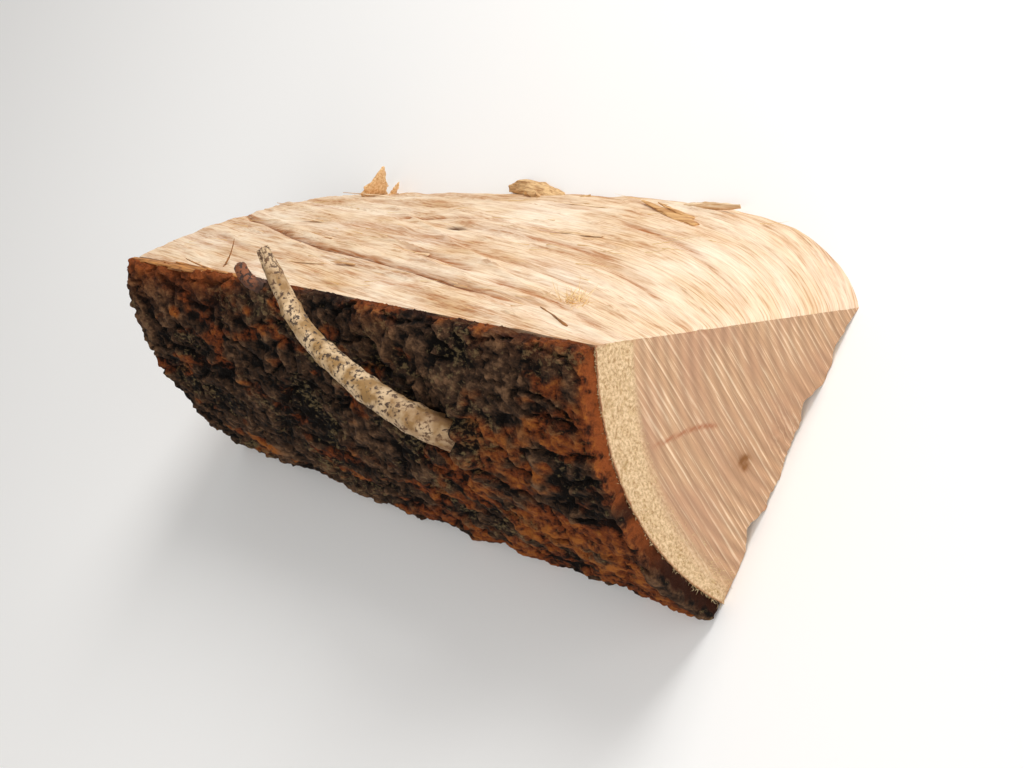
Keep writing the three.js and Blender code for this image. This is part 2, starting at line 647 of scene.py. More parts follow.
@dataclass(frozen=True)
class RuggedBark:
    """Old dry bark: near-black plates with dusty brown flakes and rusty breaks, specks of
    lichen, and the orange-red inner bark where it is cut or split. Its colour goes darkest in
    the cracks, which is painted shade, and lightest on the raised flakes, which is dust with a
    painted highlight.

    Bark is cork and dust, so it is the roughest thing on the log: hardly any sheen, and
    colour that changes with every flake.
    """

    # dark, brown and dusty follow how high the bark stands: the bark's near-black with painted shade in the
    # cracks, and dust with a painted highlight on the raised flakes
    dark: str = "#0E0906"
    brown: str = "#443022"
    dust_and_highlight: str = "#7C5C42"
    rust: str = "#74381A"
    # the darkest rust colour, painted shade in the cracks of rusty bark
    rust_dark_and_crack_shade: str = "#1E0E07"
    gold: str = "#9E5C26"
    lichen: str = "#927C56"
    inner: str = "#8C4822"
    inner_dark: str = "#32180D"
    flake_mm: float = 3.6
    patch_mm: float = 24.0
    grit_mm: float = 2.2
    along_scale: float = 0.55  # flakes are longer along the log than across by one over this
    relief_mm: float = 2.2

    def build(self) -> bpy.types.Material:
        """Makes the material: noise at the size of patches, flakes and grit, stretched a
        little along the log, over the height, rust and bare edges that the mesh holds.

        Returns:
            The material.
        """
        material, tree, shader = new_material("rugged_bark")
        grown = add_node(tree, "ShaderNodeTexCoord").outputs["Object"]
        place = add_node(
            tree,
            "ShaderNodeVectorMath",
            {0: grown, 1: (self.along_scale, 1.0, 1.0)},
            operation="MULTIPLY",
        ).outputs[0]
        held = {
            label: add_node(tree, "ShaderNodeAttribute", attribute_name=label).outputs["Fac"]
            for label in ("height", "inner", "rust")
        }
        noises = {}
        for label, size, detail in (
            ("patch", self.patch_mm, 4),
            ("flake", self.flake_mm, 5),
            ("grit", self.grit_mm, 3),
        ):
            noises[label] = add_node(
                tree,
                "ShaderNodeTexNoise",
                {"Vector": place, "Scale": 1 / (size * MM), "Detail": detail, "Roughness": 0.68},
            ).outputs["Fac"]
        # how high the bark stands, with noise; the ramps below turn it into painted shade in the cracks and
        # a painted highlight on the raised flakes
        flake = add_node(
            tree,
            "ShaderNodeMath",
            {0: noises["flake"], 1: 1.5, 2: held["height"]},
            operation="MULTIPLY_ADD",
        )
        lifted = add_node(
            tree,
            "ShaderNodeMapRange",
            {"Value": flake.outputs[0], "From Min": 0.9, "From Max": 1.7, "To Max": 1.0},
        )
        plates = add_node(
            tree,
            "ShaderNodeValToRGB",
            {"Fac": lifted.outputs[0]},
            stops=[(0.15, self.dark), (0.5, self.brown), (0.9, self.dust_and_highlight)],
        )
        broken = add_node(
            tree, "ShaderNodeValToRGB", {"Fac": noises["flake"]}, stops=[(0.32, 0.3), (0.52, 1.0)]
        )
        rust_share = add_node(
            tree,
            "ShaderNodeMath",
            {0: held["rust"], 1: broken.outputs[0]},
            operation="MULTIPLY",
            use_clamp=True,
        )
        layers = add_node(
            tree,
            "ShaderNodeMapRange",
            {"Value": flake.outputs[0], "From Min": 0.85, "From Max": 1.6, "To Max": 1.0},
        )
        # rust by the same height: darkest in the cracks, which is painted shade
        rust_colour = add_node(
            tree,
            "ShaderNodeValToRGB",
            {"Fac": layers.outputs[0]},
            stops=[(0.1, self.rust_dark_and_crack_shade), (0.45, self.rust), (0.85, self.gold)],
        )
        dusting = add_node(
            tree, "ShaderNodeMath", {0: noises["grit"], 1: noises["patch"]}, operation="SUBTRACT"
        )
        speck = add_node(
            tree, "ShaderNodeValToRGB", {"Fac": dusting.outputs[0]}, stops=[(0.1, 0.0), (0.24, 0.45)]
        )
        speck_colour = add_node(
            tree,
            "ShaderNodeMix",
            {0: rust_share.outputs[0], 6: self.lichen, 7: self.gold},
            data_type="RGBA",
        )
        inner_colour = add_node(
            tree,
            "ShaderNodeMix",
            {0: rust_share.outputs[0], 6: self.inner_dark, 7: self.inner},
            data_type="RGBA",
        )
        colour = plates.outputs[0]
        for share, coat in (
            (rust_share.outputs[0], rust_colour.outputs[0]),
            (speck.outputs[0], speck_colour.outputs[2]),
            (held["inner"], inner_colour.outputs[2]),
        ):
            mixed = {0: share, 6: colour, 7: coat}
            colour = add_node(tree, "ShaderNodeMix", mixed, data_type="RGBA").outputs[2]
        tree.links.new(colour, shader.inputs["Base Color"])
        relief = add_node(
            tree,
            "ShaderNodeMath",
            {0: noises["grit"], 1: 0.5, 2: noises["flake"]},
            operation="MULTIPLY_ADD",
        )
        bump = add_node(
            tree,
            "ShaderNodeBump",
            {"Height": relief.outputs[0], "Distance": self.relief_mm * MM, "Strength": 1.0},
        )
        tree.links.new(bump.outputs[0], shader.inputs["Normal"])
        shader.inputs["Roughness"].default_value = 0.9
        shader.inputs["Specular IOR Level"].default_value = 0.12
        return material


@dataclass(frozen=True)
class TwigBark:
    """Thin dry bark of a dead shoot: golden tan, wrinkled, peppered with dark specks.

    The bark of a shoot is smooth under its wrinkles, so it has a faint sheen that the
    trunk's bark lacks, and its specks are pores and mould spots.
    """

    light: str = "#D8BA92"
    mid: str = "#94703F"
    dark: str = "#33221A"
    warm: str = "#76502C"
    patch_mm: float = 9.0
    speck_mm: float = 1.9
    relief_mm: float = 0.5

    def build(self, name: str) -> bpy.types.Material:
        """Makes the material: patches and specks from noise, and a warm tone at the collar,
        which the mesh holds.

        Args:
            name: the material's name.

        Returns:
            The material.
        """
        material, tree, shader = new_material(name)
        place = add_node(tree, "ShaderNodeTexCoord").outputs["Object"]
        collar = add_node(tree, "ShaderNodeAttribute", attribute_name="collar").outputs["Fac"]
        wide = add_node(
            tree, "ShaderNodeTexNoise", {"Vector": place, "Scale": 1 / (self.patch_mm * MM), "Detail": 4.0}
        ).outputs["Fac"]
        fine = add_node(
            tree,
            "ShaderNodeTexNoise",
            {"Vector": place, "Scale": 1 / (self.speck_mm * MM), "Detail": 3.0, "Roughness": 0.6},
        ).outputs["Fac"]
        ground = add_node(
            tree, "ShaderNodeValToRGB", {"Fac": wide}, stops=[(0.4, self.mid), (0.58, self.light)]
        )
        specks = add_node(
            tree, "ShaderNodeMath", {0: wide, 1: -0.35, 2: fine}, operation="MULTIPLY_ADD"
        )
        speck_share = add_node(
            tree, "ShaderNodeValToRGB", {"Fac": specks.outputs[0]}, stops=[(0.22, 0.95), (0.3, 0.0)]
        )
        worn = add_node(tree, "ShaderNodeValToRGB", {"Fac": fine}, stops=[(0.35, 1.0), (0.62, 0.6)])
        warmth = add_node(
            tree, "ShaderNodeMath", {0: collar, 1: worn.outputs[0]}, operation="MULTIPLY", use_clamp=True
        )
        colour = ground.outputs[0]
        for share, coat in (
            (speck_share.outputs[0], self.dark),
            (warmth.outputs[0], self.warm),
        ):
            mixed = {0: share, 6: colour, 7: coat}
            colour = add_node(tree, "ShaderNodeMix", mixed, data_type="RGBA").outputs[2]
        tree.links.new(colour, shader.inputs["Base Color"])
        bump = add_node(
            tree, "ShaderNodeBump", {"Height": fine, "Distance": self.relief_mm * MM, "Strength": 0.6}
        )
        tree.links.new(bump.outputs[0], shader.inputs["Normal"])
        shader.inputs["Roughness"].default_value = 0.7
        return material


# ----- The split wood -----


@dataclass(frozen=True)
class Groove:
    """A torn groove on the upper split face, or a raised strip where its depth is negative."""

    path: tuple[tuple[float, float], ...]  # distance from the front end, and from the bark
    width: float
    depth: float
    stain: float  # how brown it is, from 0 to 1

    def share(self, distance: np.ndarray, place: np.ndarray) -> np.ndarray:
        """How much of the groove is at each point: a bell across the path, which is joined
        by straight stretches, fading out over the path's last quarter at both ends.

        Args:
            distance: from the front end.
            place: across the grain, from the bark.

        Returns:
            Values from 0 to 1.
        """
        along = np.array(self.path)
        order = np.argsort(along[:, 0])
        centre = np.interp(distance, along[order, 0], along[order, 1])
        low, high = along[:, 0].min(), along[:, 0].max()
        fade = (high - low) / 4
        inside = smooth_step(distance, low - fade / 2, low + fade / 2)
        inside = inside * (1 - smooth_step(distance, high - fade / 2, high + fade / 2))
        return inside * np.exp(-(((place - centre) / self.width) ** 2))


@dataclass(frozen=True)
class Furrow:
    """A furrow torn into the lower split face from a sawn end, as a bell."""

    depth: float
    place: tuple[float, float]  # distance from the front end, and radius from the pith
    spread: tuple[float, float]


@dataclass
class SplitWood:
    """The wedge of wood: two torn split faces that meet at the ridge, and two sawn ends."""

    trunk: Trunk
    rows: int = 150
    face_columns: int = 170
    arc_columns: int = 84
    grain_width: float = 150.0  # widest stretch from the bark edge to the ridge
    grain_slope: float = 0.10  # how much the fibres lean from the ridge to the bark
    sapwood_share: float = 0.868  # radius at which the sapwood starts
    saw_lean: float = math.radians(22.5)  # lean of the saw marks from upright
    saw_pitch: float = 6.3  # from one deep saw mark to the next
    grooves: tuple[Groove, ...] = (
        Groove(((430, 76), (364, 59), (316, 46), (272, 38), (201, 32), (96, 23)), 1.7, 2.2, 1.0),
        Groove(((440, 84), (372, 67), (325, 55), (282, 46), (235, 40)), 1.8, -1.5, 0.0),
        Groove(((312, 104), (190, 61), (120, 41), (84, 33)), 1.6, -1.1, 0.0),
        Groove(((284, 87), (246, 92), (205, 97)), 1.3, 1.7, 1.0),
        Groove(((304, 70), (240, 67), (172, 62)), 4.0, 0.4, 0.6),
        Groove(((164, 82), (128, 79), (88, 74)), 1.5, 0.8, 0.85),
        Groove(((120, 34), (92, 31), (52, 26)), 1.3, 1.1, 0.85),
        Groove(((134, 113), (100, 108), (62, 101)), 1.2, 1.2, 0.8),
        Groove(((80, 66), (60, 63), (34, 58)), 1.1, 0.9, 0.75),
        Groove(((54, 26), (30, 21), (6, 15)), 1.2, 0.8, 0.6),
        Groove(((262, 60), (196, 60), (128, 53), (55, 44)), 1.4, 1.2, 0.55),
        Groove(((218, 51), (182, 46), (146, 40)), 1.8, 1.8, 0.9),
        Groove(((120, 108), (70, 100), (18, 90)), 1.3, 1.0, 0.4),
        Groove(((380, 120), (320, 112), (262, 110)), 1.6, 1.3, 0.5),
        Groove(((150, 74), (100, 72), (60, 66)), 1.2, 1.0, 0.45),
        Groove(((372, 34), (330, 26), (290, 22)), 1.6, 1.4, 0.6),
    )
    furrows: tuple[Furrow, ...] = (
        Furrow(5.5, (0, 45), (95, 7)),
        Furrow(4.8, (0, 99), (120, 5.5)),
        Furrow(1.6, (0, 19), (70, 6)),
        Furrow(1.3, (0, 70), (60, 5)),
        Furrow(4.0, (400, 66), (150, 9)),
    )
    calm_place: tuple[float, float] = (45, 100)  # a smoother stretch of the upper face
    calm_spread: tuple[float, float] = (70, 50)
    pit_place: tuple[float, float] = (221, 82)  # a small pit in the upper face, with painted shade in it
    pit_depth: float = 2.5
    # Marks on the front sawn end, each as across and height from the pith.
    ray_place: tuple[float, float] = (-80.7, 52)  # a thin reddish line
    ray_lean: float = 0.685  # how much it moves across for each millimetre down
    knot_place: tuple[float, float] = (-77.6, 19.9)
    torn_place: tuple[float, float] = (-60, 4)
    nick_place: tuple[float, float] = (-44.4, 66)

    def sapwood(self, share: np.ndarray, angle: np.ndarray) -> np.ndarray:
        """How much of the wood is sapwood: a band under the bark, with a sharp inner edge by
        the upper face, that grows narrower and fades towards the lower face.

        Args:
            share: radius from the pith as a share of the wood's.
            angle: round the pith, from the lower split face.

        Returns:
            Values from 0 to 1.
        """
        down = 1 - angle / self.trunk.wedge
        edge = self.sapwood_share + 0.085 * down**1.6
        blur = 0.012 + 0.06 * down
        return np.clip((share - edge) / blur + 0.5, 0, 1)

    def upper_relief(self, distance: np.ndarray, place: np.ndarray) -> dict[str, np.ndarray]:
        """The torn upper face: long fibres at three widths, flat layers that end in ledges,
        lifted strips, and the named grooves, all along a grain that wanders.

        Args:
            distance: from the front end.
            place: across the grain, from the bark edge.

        Returns:
            height in millimetres, grain place, stain share, and the share of painted shade in the pit and
            the middles of the most stained grooves.
        """
        wander = Noise(11)
        grain = place - self.grain_slope * distance
        grain = grain + 4 * wander.at(distance / 190, place / 90)
        grain = grain + 0.9 * wander.at(distance / 46 + 50, place / 16)
        body, strip = Noise(12), Noise(13)
        broad = body.layered(distance / 150, grain / 21, 2)
        layers = ledges(1.5 * body.layered(distance / 100 + 31, grain / 9, 2), 1.8, 0.16)
        fibres = 0.42 * body.layered(distance / 48 + 7, grain / 3.1, 2)
        threads = 0.26 * strip.at(distance / 26, grain / 1.6)
        lifted = 1.2 * smooth_step(strip.at(distance / 36 + 80, grain / 2.2), 0.55, 0.95)
        height = 0.95 * broad + 0.7 * layers + fibres + threads + lifted
        calm = 1 - 0.7 * bump_at(distance, place, self.calm_place, self.calm_spread)
        height = height * calm
        stain = np.zeros(height.shape)
        for groove in self.grooves:
            share = groove.share(distance, place)
            height = height - groove.depth * share
            stain = np.maximum(stain, groove.stain * share**0.6)
        steep = np.abs(np.gradient(layers, axis=1))
        stain = np.maximum(stain, 0.5 * smooth_step(steep, 0.12, 0.4) * calm)
        warm = strip.layered(distance / 90 + 12, grain / 7, 2)
        stain = np.maximum(stain, 0.5 * smooth_step(warm, 0.5, 0.95) * calm)
        pit = bump_at(distance, place, self.pit_place, (4.8, 1.5))
        height = height - self.pit_depth * pit
        # painted shade: dark brown in the pit and along the middles of the most stained grooves
        painted_shade_and_dark_wood = np.clip(3.2 * pit + 0.75 * smooth_step(stain, 0.82, 1.0), 0, 1)
        return {"height": height, "grain": grain, "stain": stain, "painted_shade_and_dark_wood": painted_shade_and_dark_wood}

    def lower_relief(self, distance: np.ndarray, radius: np.ndarray) -> dict[str, np.ndarray]:
        """The face that the log lies on: furrows that run in from the ends, and fibres.
        Its height is how much wood is missing, so no fibre goes below the flat.

        Args:
            distance: from the front end.
            radius: from the pith.

        Returns:
            height in millimetres, grain place, stain share, and a painted-shade share, which is nothing
            here.
        """
        torn = Noise(21)
        grain = radius + 5 * torn.at(distance / 130, radius / 60) + 300
        missing = sum(
            furrow.depth * bump_at(distance, radius, furrow.place, furrow.spread)
            for furrow in self.furrows
        )
        layers = ledges(1.4 * torn.layered(distance / 120, grain / 12, 2), 1.5, 0.18)
        fibres = 0.4 * torn.layered(distance / 60 + 3, grain / 3.6, 2)
        height = np.maximum(0, 0.9 + layers + fibres + missing)
        stain = 0.5 * smooth_step(torn.layered(distance / 90 + 9, grain / 6, 2), 0.35, 0.9)
        return {"height": height, "grain": grain, "stain": stain, "painted_shade_and_dark_wood": 0 * stain}

    def saw_marks(self, across: np.ndarray, height: np.ndarray, seed: int) -> np.ndarray:
        """Parallel cutter ridges: a sharpened sine across the cut whose phase and height
        wander, deeper scratches, and a felt of fibres.

        Args:
            across: place across the section, from the pith.
            height: height over the lower face.
            seed: which cut this is.

        Returns:
            Relief in millimetres, out of the end.
        """
        rough = Noise(seed)
        over = across * math.cos(self.saw_lean) - height * math.sin(self.saw_lean)
        down = across * math.sin(self.saw_lean) + height * math.cos(self.saw_lean)
        phase = 2 * math.pi * over / self.saw_pitch + 2.2 * rough.at(over / 14, down / 60)
        ridge = 1 - 2 * np.abs(np.sin(phase / 2)) ** 1.3
        strong = 0.65 + 0.5 * rough.at(over / 9 + 40, down / 30)
        scratch = smooth_step(rough.at(over / 1.7 + 90, down / 80), 0.55, 0.95)
        return 0.1 * ridge * strong - 0.16 * scratch + 0.14 * rough.layered(over / 3, down / 7, 2)

    def cut_place(self, across: np.ndarray, height: np.ndarray) -> np.ndarray:
        """Coordinates of a sawn end for its finish: across the saw marks, along them, and
        the radius from the pith.

        Args:
            across: place across the section, from the pith.
            height: height over the lower face.

        Returns:
            Three values per point, in millimetres.
        """
        over = across * math.cos(self.saw_lean) - height * math.sin(self.saw_lean)
        down = across * math.sin(self.saw_lean) + height * math.cos(self.saw_lean)
        return np.stack([over, down, np.hypot(across, height)], axis=-1)

    def sides(self) -> tuple[np.ndarray, dict[str, np.ndarray]]:
        """The surface between the sawn ends: from the ridge over the upper face to the bark,
        round under the bark, and back under the lower face to the ridge.

        Returns:
            Points by row and column, and the attributes in the same shape.
        """
        trunk, count, arc = self.trunk, self.face_columns, self.arc_columns
        distance = np.linspace(0, trunk.length, self.rows + 1)[:, None]
        share = np.concatenate(
            [np.arange(count) / count, np.ones(arc), 1 - np.arange(count) / count]
        )[None, :]
        angle = np.concatenate(
            [np.full(count, trunk.wedge), trunk.wedge * (1 - np.arange(arc) / arc), np.zeros(count)]
        )[None, :]
        points = trunk.place(distance, share * trunk.wood_radius, angle)

        upper = np.s_[:, : count + 1]
        place = (1 - share[:, : count + 1]) * self.grain_width + 0 * distance
        relief = self.upper_relief(distance + 0 * place, place)
        normal = surface_normals(points[upper])
        normal = normal * np.sign(normal[..., 2:3])
        from_ridge = self.grain_width - place
        hold = smooth_step(from_ridge, -1.0, 7.0) * (0.35 + 0.65 * smooth_step(place, 0, 5.0))
        hold = hold * (0.12 + 0.88 * smooth_step(distance, 0, 16.0))
        hold = hold * (0.35 + 0.65 * smooth_step(trunk.length - distance, 0, 12.0))
        points[upper] += normal * (relief["height"] * hold)[..., None]

        lower = np.s_[:, count + arc :]
        radius = share[:, count + arc :] * trunk.wood_radius + 0 * distance
        under = self.lower_relief(distance + 0 * radius, radius)
        points[lower][..., 2] += under["height"] * smooth_step(radius, 0, 9.0)

        ragged = Noise(31)
        along = distance[:, 0]
        tear = 0.8 * ragged.layered(along / 24, 0 * along, 3) - 0.3
        tear = tear * smooth_step(along, 0, 12)
        near_ridge = np.exp(-(from_ridge / 5.0) ** 2)
        points[upper][..., 1] += tear[:, None] * near_ridge
        points[upper][..., 2] = np.maximum(points[upper][..., 2], 0)

        shape = points.shape[:2]
        values = {"stain": np.zeros(shape), "painted_shade_and_dark_wood": np.zeros(shape), "sapwood": np.zeros(shape)}
        grain = np.zeros(shape + (3,))
        grain[..., 0] = distance
        grain[upper][..., 1] = relief["grain"]
        grain[lower][..., 1] = under["grain"]
        grain[upper][..., 2] = GrainSide.UPPER.value
        grain[lower][..., 2] = GrainSide.LOWER.value
        values["stain"][:, count + 1 : count + arc] = 0.9
        values["painted_shade_and_dark_wood"][:, count + 1 : count + arc] = 0.45
        for label in ("stain", "painted_shade_and_dark_wood"):
            values[label][upper] = relief[label]
            values[label][lower] = under[label]
        values["sapwood"][:] = self.sapwood(share, angle)
        values["grain"] = grain
        values["cut"] = self.cut_place(points[..., 1] - trunk.pith_across, points[..., 2])
        return points, values

    def front_marks(
        self, across: np.ndarray, height: np.ndarray, felt: np.ndarray, seed: int
    ) -> tuple[np.ndarray, np.ndarray, np.ndarray]:
        """What the front end alone has: a thin reddish line, a small knot whose ring is
        darkest at its rim, a torn stretch at the lower edge, and a nick at the upper one.

        Args:
            across: place across the section, from the pith.
            height: height over the lower face.
            felt: relief of the fibres that the saw left.
            seed: which cut this is.

        Returns:
            Stain and dark-knot shares, and how much wood is missing, in millimetres.
        """
        ray_across, ray_height = self.ray_place
        waver = 2.2 * np.sin(height / 6)
        line = np.abs(across - ray_across - self.ray_lean * (ray_height - height) - waver)
        stain = 0.85 * np.exp(-((line / 1.0) ** 2)) * smooth_step(height, 38, 43)
        stain = stain * (1 - smooth_step(height, 60, 66))
        knot_across, knot_height = self.knot_place
        knot = bump_at(across, height, self.knot_place, (2.6, 2.9))
        halo = bump_at(across, height, (knot_across + 0.6, knot_height + 2.1), (6, 7))
        from_knot = np.hypot(across - knot_across, height - knot_height)
        uneven = 0.7 + 0.6 * Noise(seed + 2).layered(across / 2.0, height / 2.6, 2)
        painted_shade_and_dark_wood = 0.8 * uneven * np.exp(-(((from_knot - 2.0) / 1.3) ** 2)) + 0.35 * knot
        painted_shade_and_dark_wood = np.clip(painted_shade_and_dark_wood + 0.25 * halo, 0, 1)
        torn = bump_at(across, height, self.torn_place, (13, 11))
        nick = bump_at(across, height, self.nick_place, (1.6, 3.2))
        return stain, painted_shade_and_dark_wood, 0.9 * knot + 2.4 * torn * (0.75 + 0.25 * felt) + 1.6 * nick

    def end(
        self, sides: np.ndarray, row: int, seed: int
    ) -> tuple[np.ndarray, np.ndarray, dict[str, np.ndarray]]:
        """One sawn end: rings of constant share of the radius by spokes of constant angle,
        drawn to the torn outline near its edge, with the saw marks standing out of it.

        Args:
            sides: points of the sides, by row and column; the end's row is cut too.
            row: which row of the sides the end closes.
            seed: which cut this is.

        Returns:
            The inner points, the grid of vertex numbers that closes the end, counted from
            the first inner point at minus one and down, and the attributes.
        """
        trunk, count, arc = self.trunk, self.face_columns, self.arc_columns
        distance = trunk.length * row / self.rows
        outward = 1.0 if row == 0 else -1.0
        columns = sides.shape[1]
        share = np.arange(count + 1)[:, None] / count
        angle = trunk.wedge * (1 - np.arange(arc + 1)[None, :] / arc)
        points = trunk.place(np.array(distance), share * trunk.wood_radius, angle)
        ideal = points.copy()

        lower = (-np.arange(count + 1)) % columns
        top, bottom = sides[row, : count + 1], sides[row, lower]
        rim = sides[row, count : count + arc + 1]
        turn = np.arange(arc + 1)[None, :, None] / arc
        pull_top = (top - ideal[:, 0])[:, None] * (1 - turn) ** 9
        pull_bottom = (bottom - ideal[:, -1])[:, None] * turn**4
        points = ideal + pull_top + pull_bottom
        points[:, 0], points[:, -1], points[-1] = top, bottom, rim
        points[0] = top[0]

        across, height = points[..., 1] - trunk.pith_across, points[..., 2]
        out = self.saw_marks(across, height, seed)
        radius = np.hypot(across, height)
        sapwood = self.sapwood(share, angle)
        felt = Noise(seed + 1).layered(across / 1.9, height / 1.9, 2)
        out = out * (1 - 0.7 * sapwood) + 0.5 * felt * sapwood
        stain, painted_shade_and_dark_wood = np.zeros(out.shape), np.zeros(out.shape)
        if row == 0:
            stain, painted_shade_and_dark_wood, missing = self.front_marks(across, height, felt, seed)
            out = out - missing
        points[..., 0] = ideal[..., 0] + outward * (out - 0.5)
        sides[row, : count + 1, 0] = points[:, 0, 0]
        sides[row, count : count + arc + 1, 0] = points[-1, :, 0]
        sides[row, lower, 0] = points[:, -1, 0]

        index = np.zeros((count + 1, arc + 1), int)
        first = row * columns
        index[:, 0] = first + np.arange(count + 1)
        index[-1, :] = first + count + np.arange(arc + 1)
        index[:, -1] = first + lower
        index[0, :] = first
        inner = np.s_[1:-1, 1:-1]
        index[inner] = -1 - np.arange((count - 1) * (arc - 1)).reshape(count - 1, arc - 1)
        values = {
            "stain": stain[inner].ravel(),
            "painted_shade_and_dark_wood": painted_shade_and_dark_wood[inner].ravel(),
            "sapwood": sapwood[inner].ravel(),
            "cut": self.cut_place(across, height)[inner].reshape(-1, 3),
            "grain": np.stack([across, height, radius], axis=-1)[inner].reshape(-1, 3),
        }
        return points[inner].reshape(-1, 3), index, values

    def build(self) -> bpy.types.Object:
        """Joins the sides and the two ends into one closed mesh and dresses it.

        Returns:
            The wood.
        """
        sides, values = self.sides()
        front, front_index, front_values = self.end(sides, 0, 41)
        back, back_index, back_values = self.end(sides, self.rows, 51)
        count = sides.shape[0] * sides.shape[1]
        side_index = np.arange(count).reshape(sides.shape[:2])
        front_index = np.where(front_index < 0, count - 1 - front_index, front_index)
        back_start = count + len(front)
        back_index = np.where(back_index < 0, back_start - 1 - back_index, back_index)
        points = np.concatenate([sides.reshape(-1, 3), front, back])
        attributes = {}
        for label, side_values in values.items():
            flat = side_values.reshape((count,) + side_values.shape[2:])
            attributes[label] = np.concatenate([flat, front_values[label], back_values[label]])
        quads = [
            grid_quads(side_index, wrap=True),
            grid_quads(front_index),
            grid_quads(back_index),
        ]
        wood = mesh_object("split_wood", points, quads, attributes)
        wood.data.materials.append(RivenHardwood().build())
        wood.data.materials.append(SawnEndGrain().build())
        material_index = np.zeros(len(wood.data.polygons), np.int32)
        material_index[len(quads[0]) :] = 1
        wood.data.polygons.foreach_set("material_index", material_index)
        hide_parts("wood")
        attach(wood, "root")
        return wood


# ----- The bark -----


@dataclass(frozen=True)
class BarkGrid:
    """Where each point of the bark's skin is: rows along the log, columns round the section.

    Spin and depth have one value per column, the others one per point.
    """

    distance: np.ndarray  # from the front end
    angle: np.ndarray  # round the pith, from the lower split face
    around: np.ndarray  # the same in millimetres round the trunk
    spin: np.ndarray  # from 0 at the lower long edge to 1 at the upper one
    depth: np.ndarray  # from 0 on the outside to 1 on the inside
    from_edge: np.ndarray  # from the nearer long edge
    from_end: np.ndarray  # from the nearer sawn end


